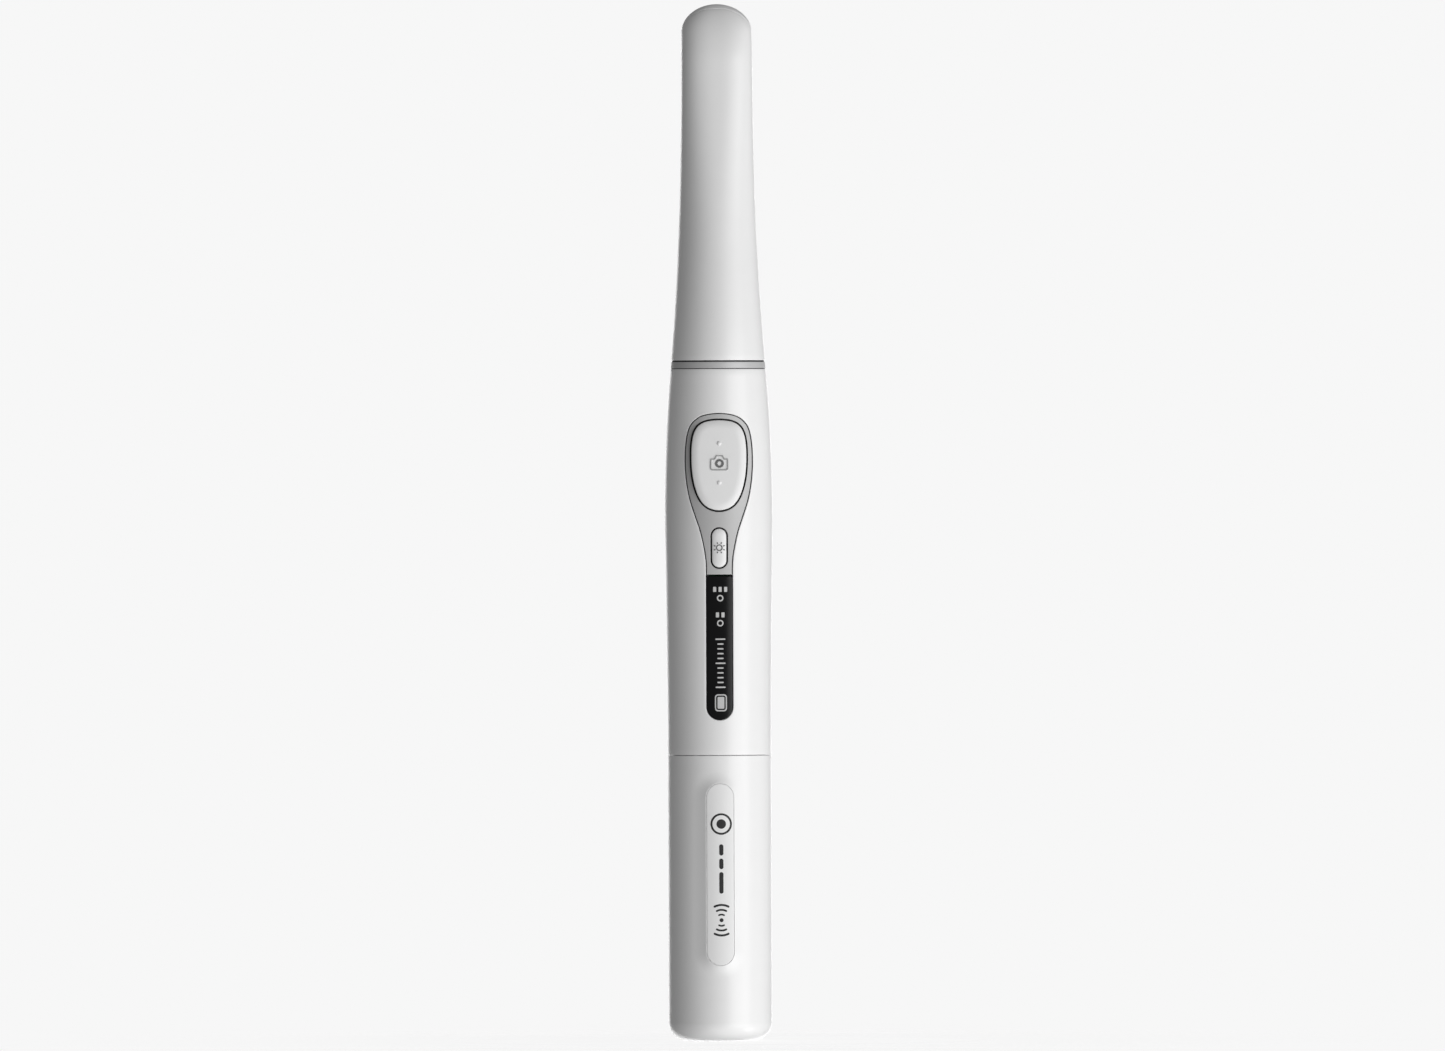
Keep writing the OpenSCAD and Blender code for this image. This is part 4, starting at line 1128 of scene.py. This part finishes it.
b = Build()
rows = back_rows(-EDGE)
rows_i = back_rows(-EDGE, 1.1)
for r in (rows, mirror(rows), rows_i, mirror(rows_i)):
    b.rows(r)
lip = [edge_line(o, d, -EDGE) for o, d in seam_strip(-EDGE, -LINE, -1)]
lip.append(edge_line(-LINE, 1.0, -EDGE))
lip.append(np.array([r[0] for r in rows_i]))
for r in (lip, mirror(lip)):
    b.rows(r)
t0 = float(part_t(NECK_Z + 0.16, -EDGE))
tt = np.linspace(t0, -math.pi / 2, 45)
foot = [rows[0]]
for a in np.radians([30, 60, 90]):
    foot.append(ring_point(tt, NECK_Z + 0.16 * (1 - math.sin(a)), 0.16 * (1 - math.cos(a))))
foot.append(ring_point(tt, NECK_Z, 1.1))
foot.append(rows_i[0])
for r in (foot, mirror(foot)):
    b.rows(r)
b.make("head_back_shell_body", "handle", [M["shell"]], ["head_back_shell"], weld=0.004)

# ---------------------------------------------------------------- lens bezel, window and lamp lenses
lens_axis = lambda p: lens_to_world(np.stack([p[:, 0], p[:, 2], p[:, 1]], 1))
b = Build()
lamp_at = [(3.95 * math.cos(math.radians(30 + 60 * i)), 3.95 * math.sin(math.radians(30 + 60 * i))) for i in range(6)]
disc = lambda y: (lambda p: lens_to_world(np.stack([p[:, 0], np.full(len(p), float(y)), p[:, 1]], 1)))


def bezel_top_face(p, d):
    p = np.asarray(p, float)
    r = np.hypot(p[:, 0], p[:, 1])
    y = 5.75 - 0.1 * np.clip((3.25 - r) / 0.35, 0, 1) ** 2
    return lens_to_world(np.stack([p[:, 0], y, p[:, 1]], 1))


plate(b, [circle(0, 0, 4.98, 128), circle(0, 0, 2.96, 96)] + [circle(x, z, 0.6, 32) for x, z in lamp_at], bezel_top_face, disc(4.75),
      r=0.08, rings=(0.12,), step=0.4)
b.turn([[2.98, 5.05], [2.98, 4.76], [2.6, 4.76], [2.6, 5.05], [2.98, 5.05]], 96, axis=lens_axis)
b.make("lens_bezel_disc", "handle", [M["lens_black"]], ["lens_bezel"])
b = Build()
b.turn([[0.0005, 5.2], [2.9, 5.2], [2.94, 5.24], [2.94, 5.58], [2.9, 5.62], [2.4, 5.645], [1.6, 5.655], [0.8, 5.66], [0.0005, 5.66]], 96, axis=lens_axis)
b.make("lens_window_disc", "handle", [M["glass"]], ["lens_window"])
b = Build()
for x, z in lamp_at:
    ax = (lambda x, z: (lambda p: lens_to_world(np.stack([p[:, 0] + x, p[:, 2], p[:, 1] + z], 1))))(x, z)
    b.turn([[0.0005, 4.75], [0.56, 4.75], [0.58, 4.77], [0.58, 5.6], [0.52, 5.66], [0.35, 5.695], [0.18, 5.705], [0.0005, 5.71]], 32, axis=ax)
b.make("lamp_lens_set", "handle", [M["lamp_clear"]], ["lamp_lenses"])

# ---------------------------------------------------------------- materials for the CAD nodes that stay
slots = {}
for sp in frame["record"]["subparts"]:
    slots[sp["node"]] = sp["material_slot"]
for name, ob in frame["nodes"].items():
    sl = slots.get(name)
    mt = M[SLOT_MAT.get(sl, "dark")]
    if not ob.data.materials:
        ob.data.materials.append(mt)
    for i in range(len(ob.data.materials)):
        ob.data.materials[i] = mt
    for p in ob.data.polygons:
        p.use_smooth = True
    ob.data.set_sharp_from_angle(angle=math.radians(35))

# ---------------------------------------------------------------- floor, light, camera
fl = Build()
n = 96
t = np.arange(n) * 2 * math.pi / n
fr = []
for r in (0.001, 40, 80, 120, 160, 200):
    fr.append(np.stack([r * np.cos(t), r * np.sin(t), np.full(n, -0.02)], 1))
fl.rows(fr, closed=True)
me = bpy.data.meshes.new("floor")
me.from_pydata((np.vstack(fl.v) * MM).tolist(), [], fl.f)
floor = bpy.data.objects.new("floor", me)
bpy.context.scene.collection.objects.link(floor)
floor.visible_shadow = False
floor.visible_diffuse = False
floor.visible_glossy = False
fm = bpy.data.materials.new("floor_pale")
fm.use_nodes = True
nt = fm.node_tree
bs = nt.nodes["Principled BSDF"]
bs.inputs["Base Color"].default_value = (0.30, 0.30, 0.30, 1)
bs.inputs["Roughness"].default_value = 0.8
bs.inputs["Emission Color"].default_value = (1, 1, 1, 1)
bs.inputs["Emission Strength"].default_value = 0.78
tc = nt.nodes.new("ShaderNodeTexCoord")
ln = nt.nodes.new("ShaderNodeVectorMath")
ln.operation = "LENGTH"
nt.links.new(tc.outputs["Object"], ln.inputs[0])
mr = nt.nodes.new("ShaderNodeMapRange")
mr.interpolation_type = "SMOOTHERSTEP"
mr.inputs["From Min"].default_value = 0.012
mr.inputs["From Max"].default_value = 0.16
mr.inputs["To Min"].default_value = 0.55
mr.inputs["To Max"].default_value = 0.0
nt.links.new(ln.outputs["Value"], mr.inputs["Value"])
nt.links.new(mr.outputs[0], bs.inputs["Alpha"])
me.materials.append(fm)

scene = bpy.context.scene
scene.view_settings.view_transform = "Standard"
scene.view_settings.look = "None"
world = bpy.data.worlds.new("studio")
scene.world = world
world.use_nodes = True
nt = world.node_tree
nt.nodes.clear()
wo = nt.nodes.new("ShaderNodeOutputWorld")
bg = nt.nodes.new("ShaderNodeBackground")
bg2 = nt.nodes.new("ShaderNodeBackground")
mix = nt.nodes.new("ShaderNodeMixShader")
lp = nt.nodes.new("ShaderNodeLightPath")
bg.inputs["Color"].default_value = (0.93, 0.93, 0.93, 1)
tc = nt.nodes.new("ShaderNodeTexCoord")
dot = nt.nodes.new("ShaderNodeVectorMath")
dot.operation = "DOT_PRODUCT"
nt.links.new(tc.outputs["Generated"], dot.inputs[0])
LDIR = Vector((math.sin(math.radians(58)) * math.cos(math.radians(-18)), -math.cos(math.radians(58)) * math.cos(math.radians(-18)), math.sin(math.radians(-18))))
dot.inputs[1].default_value = LDIR
ramp = nt.nodes.new("ShaderNodeMapRange")
ramp.inputs["From Min"].default_value = -1
ramp.inputs["From Max"].default_value = 1
ramp.inputs["To Min"].default_value = 0.275
ramp.inputs["To Max"].default_value = 0.315
nt.links.new(dot.outputs["Value"], ramp.inputs["Value"])
nt.links.new(ramp.outputs[0], bg2.inputs["Strength"])
nt.links.new(lp.outputs["Is Camera Ray"], mix.inputs[0])
nt.links.new(bg2.outputs[0], mix.inputs[1])
nt.links.new(bg.outputs[0], mix.inputs[2])
nt.links.new(mix.outputs[0], wo.inputs[0])


def area(name, az, el, dist, sx, sy, power, color=(1, 1, 1)):
    """A soft panel light. Azimuth: 0 is in front, 90 to the right."""
    li = bpy.data.lights.new(name, "AREA")
    li.shape = "RECTANGLE"
    li.size, li.size_y = sx, sy
    li.energy = power
    li.color = color
    ob = bpy.data.objects.new(name, li)
    scene.collection.objects.link(ob)
    a, e = math.radians(az), math.radians(el)
    d = Vector((math.sin(a) * math.cos(e), -math.cos(a) * math.cos(e), math.sin(e)))
    ob.location = Vector((0, 0, 0.1)) + d * dist
    ob.rotation_euler = d.to_track_quat("Z", "Y").to_euler()
    return ob


area("key_panel", 44, -9, 2.6, 2.3, 2.6, 62.5)
area("rear_panel", 184, -15, 2.2, 1.8, 1.8, 22)
area("low_panel", 15, -58, 2.0, 1.8, 1.4, 7)
area("low_right", 80, -40, 2.0, 0.26, 0.26, 5.5)

cam_data = bpy.data.cameras.new("camera")
cam = bpy.data.objects.new("camera", cam_data)
scene.collection.objects.link(cam)
D = 6.0
cam_data.sensor_width = 36.0
cam_data.lens = 36.0 * D / 0.289
cam_data.clip_start, cam_data.clip_end = 0.05, 20
yaw = math.radians(0.5)
target = Vector((0.00077, 0, 0.103))
back = Vector((-math.sin(yaw), -math.cos(yaw), 0))
cam.location = target + back * D
cam.rotation_mode = "QUATERNION"
cam.rotation_quaternion = (-back).to_track_quat("-Z", "Y") @ Matrix.Rotation(math.radians(-0.21), 4, "Z").to_quaternion()
scene.camera = cam
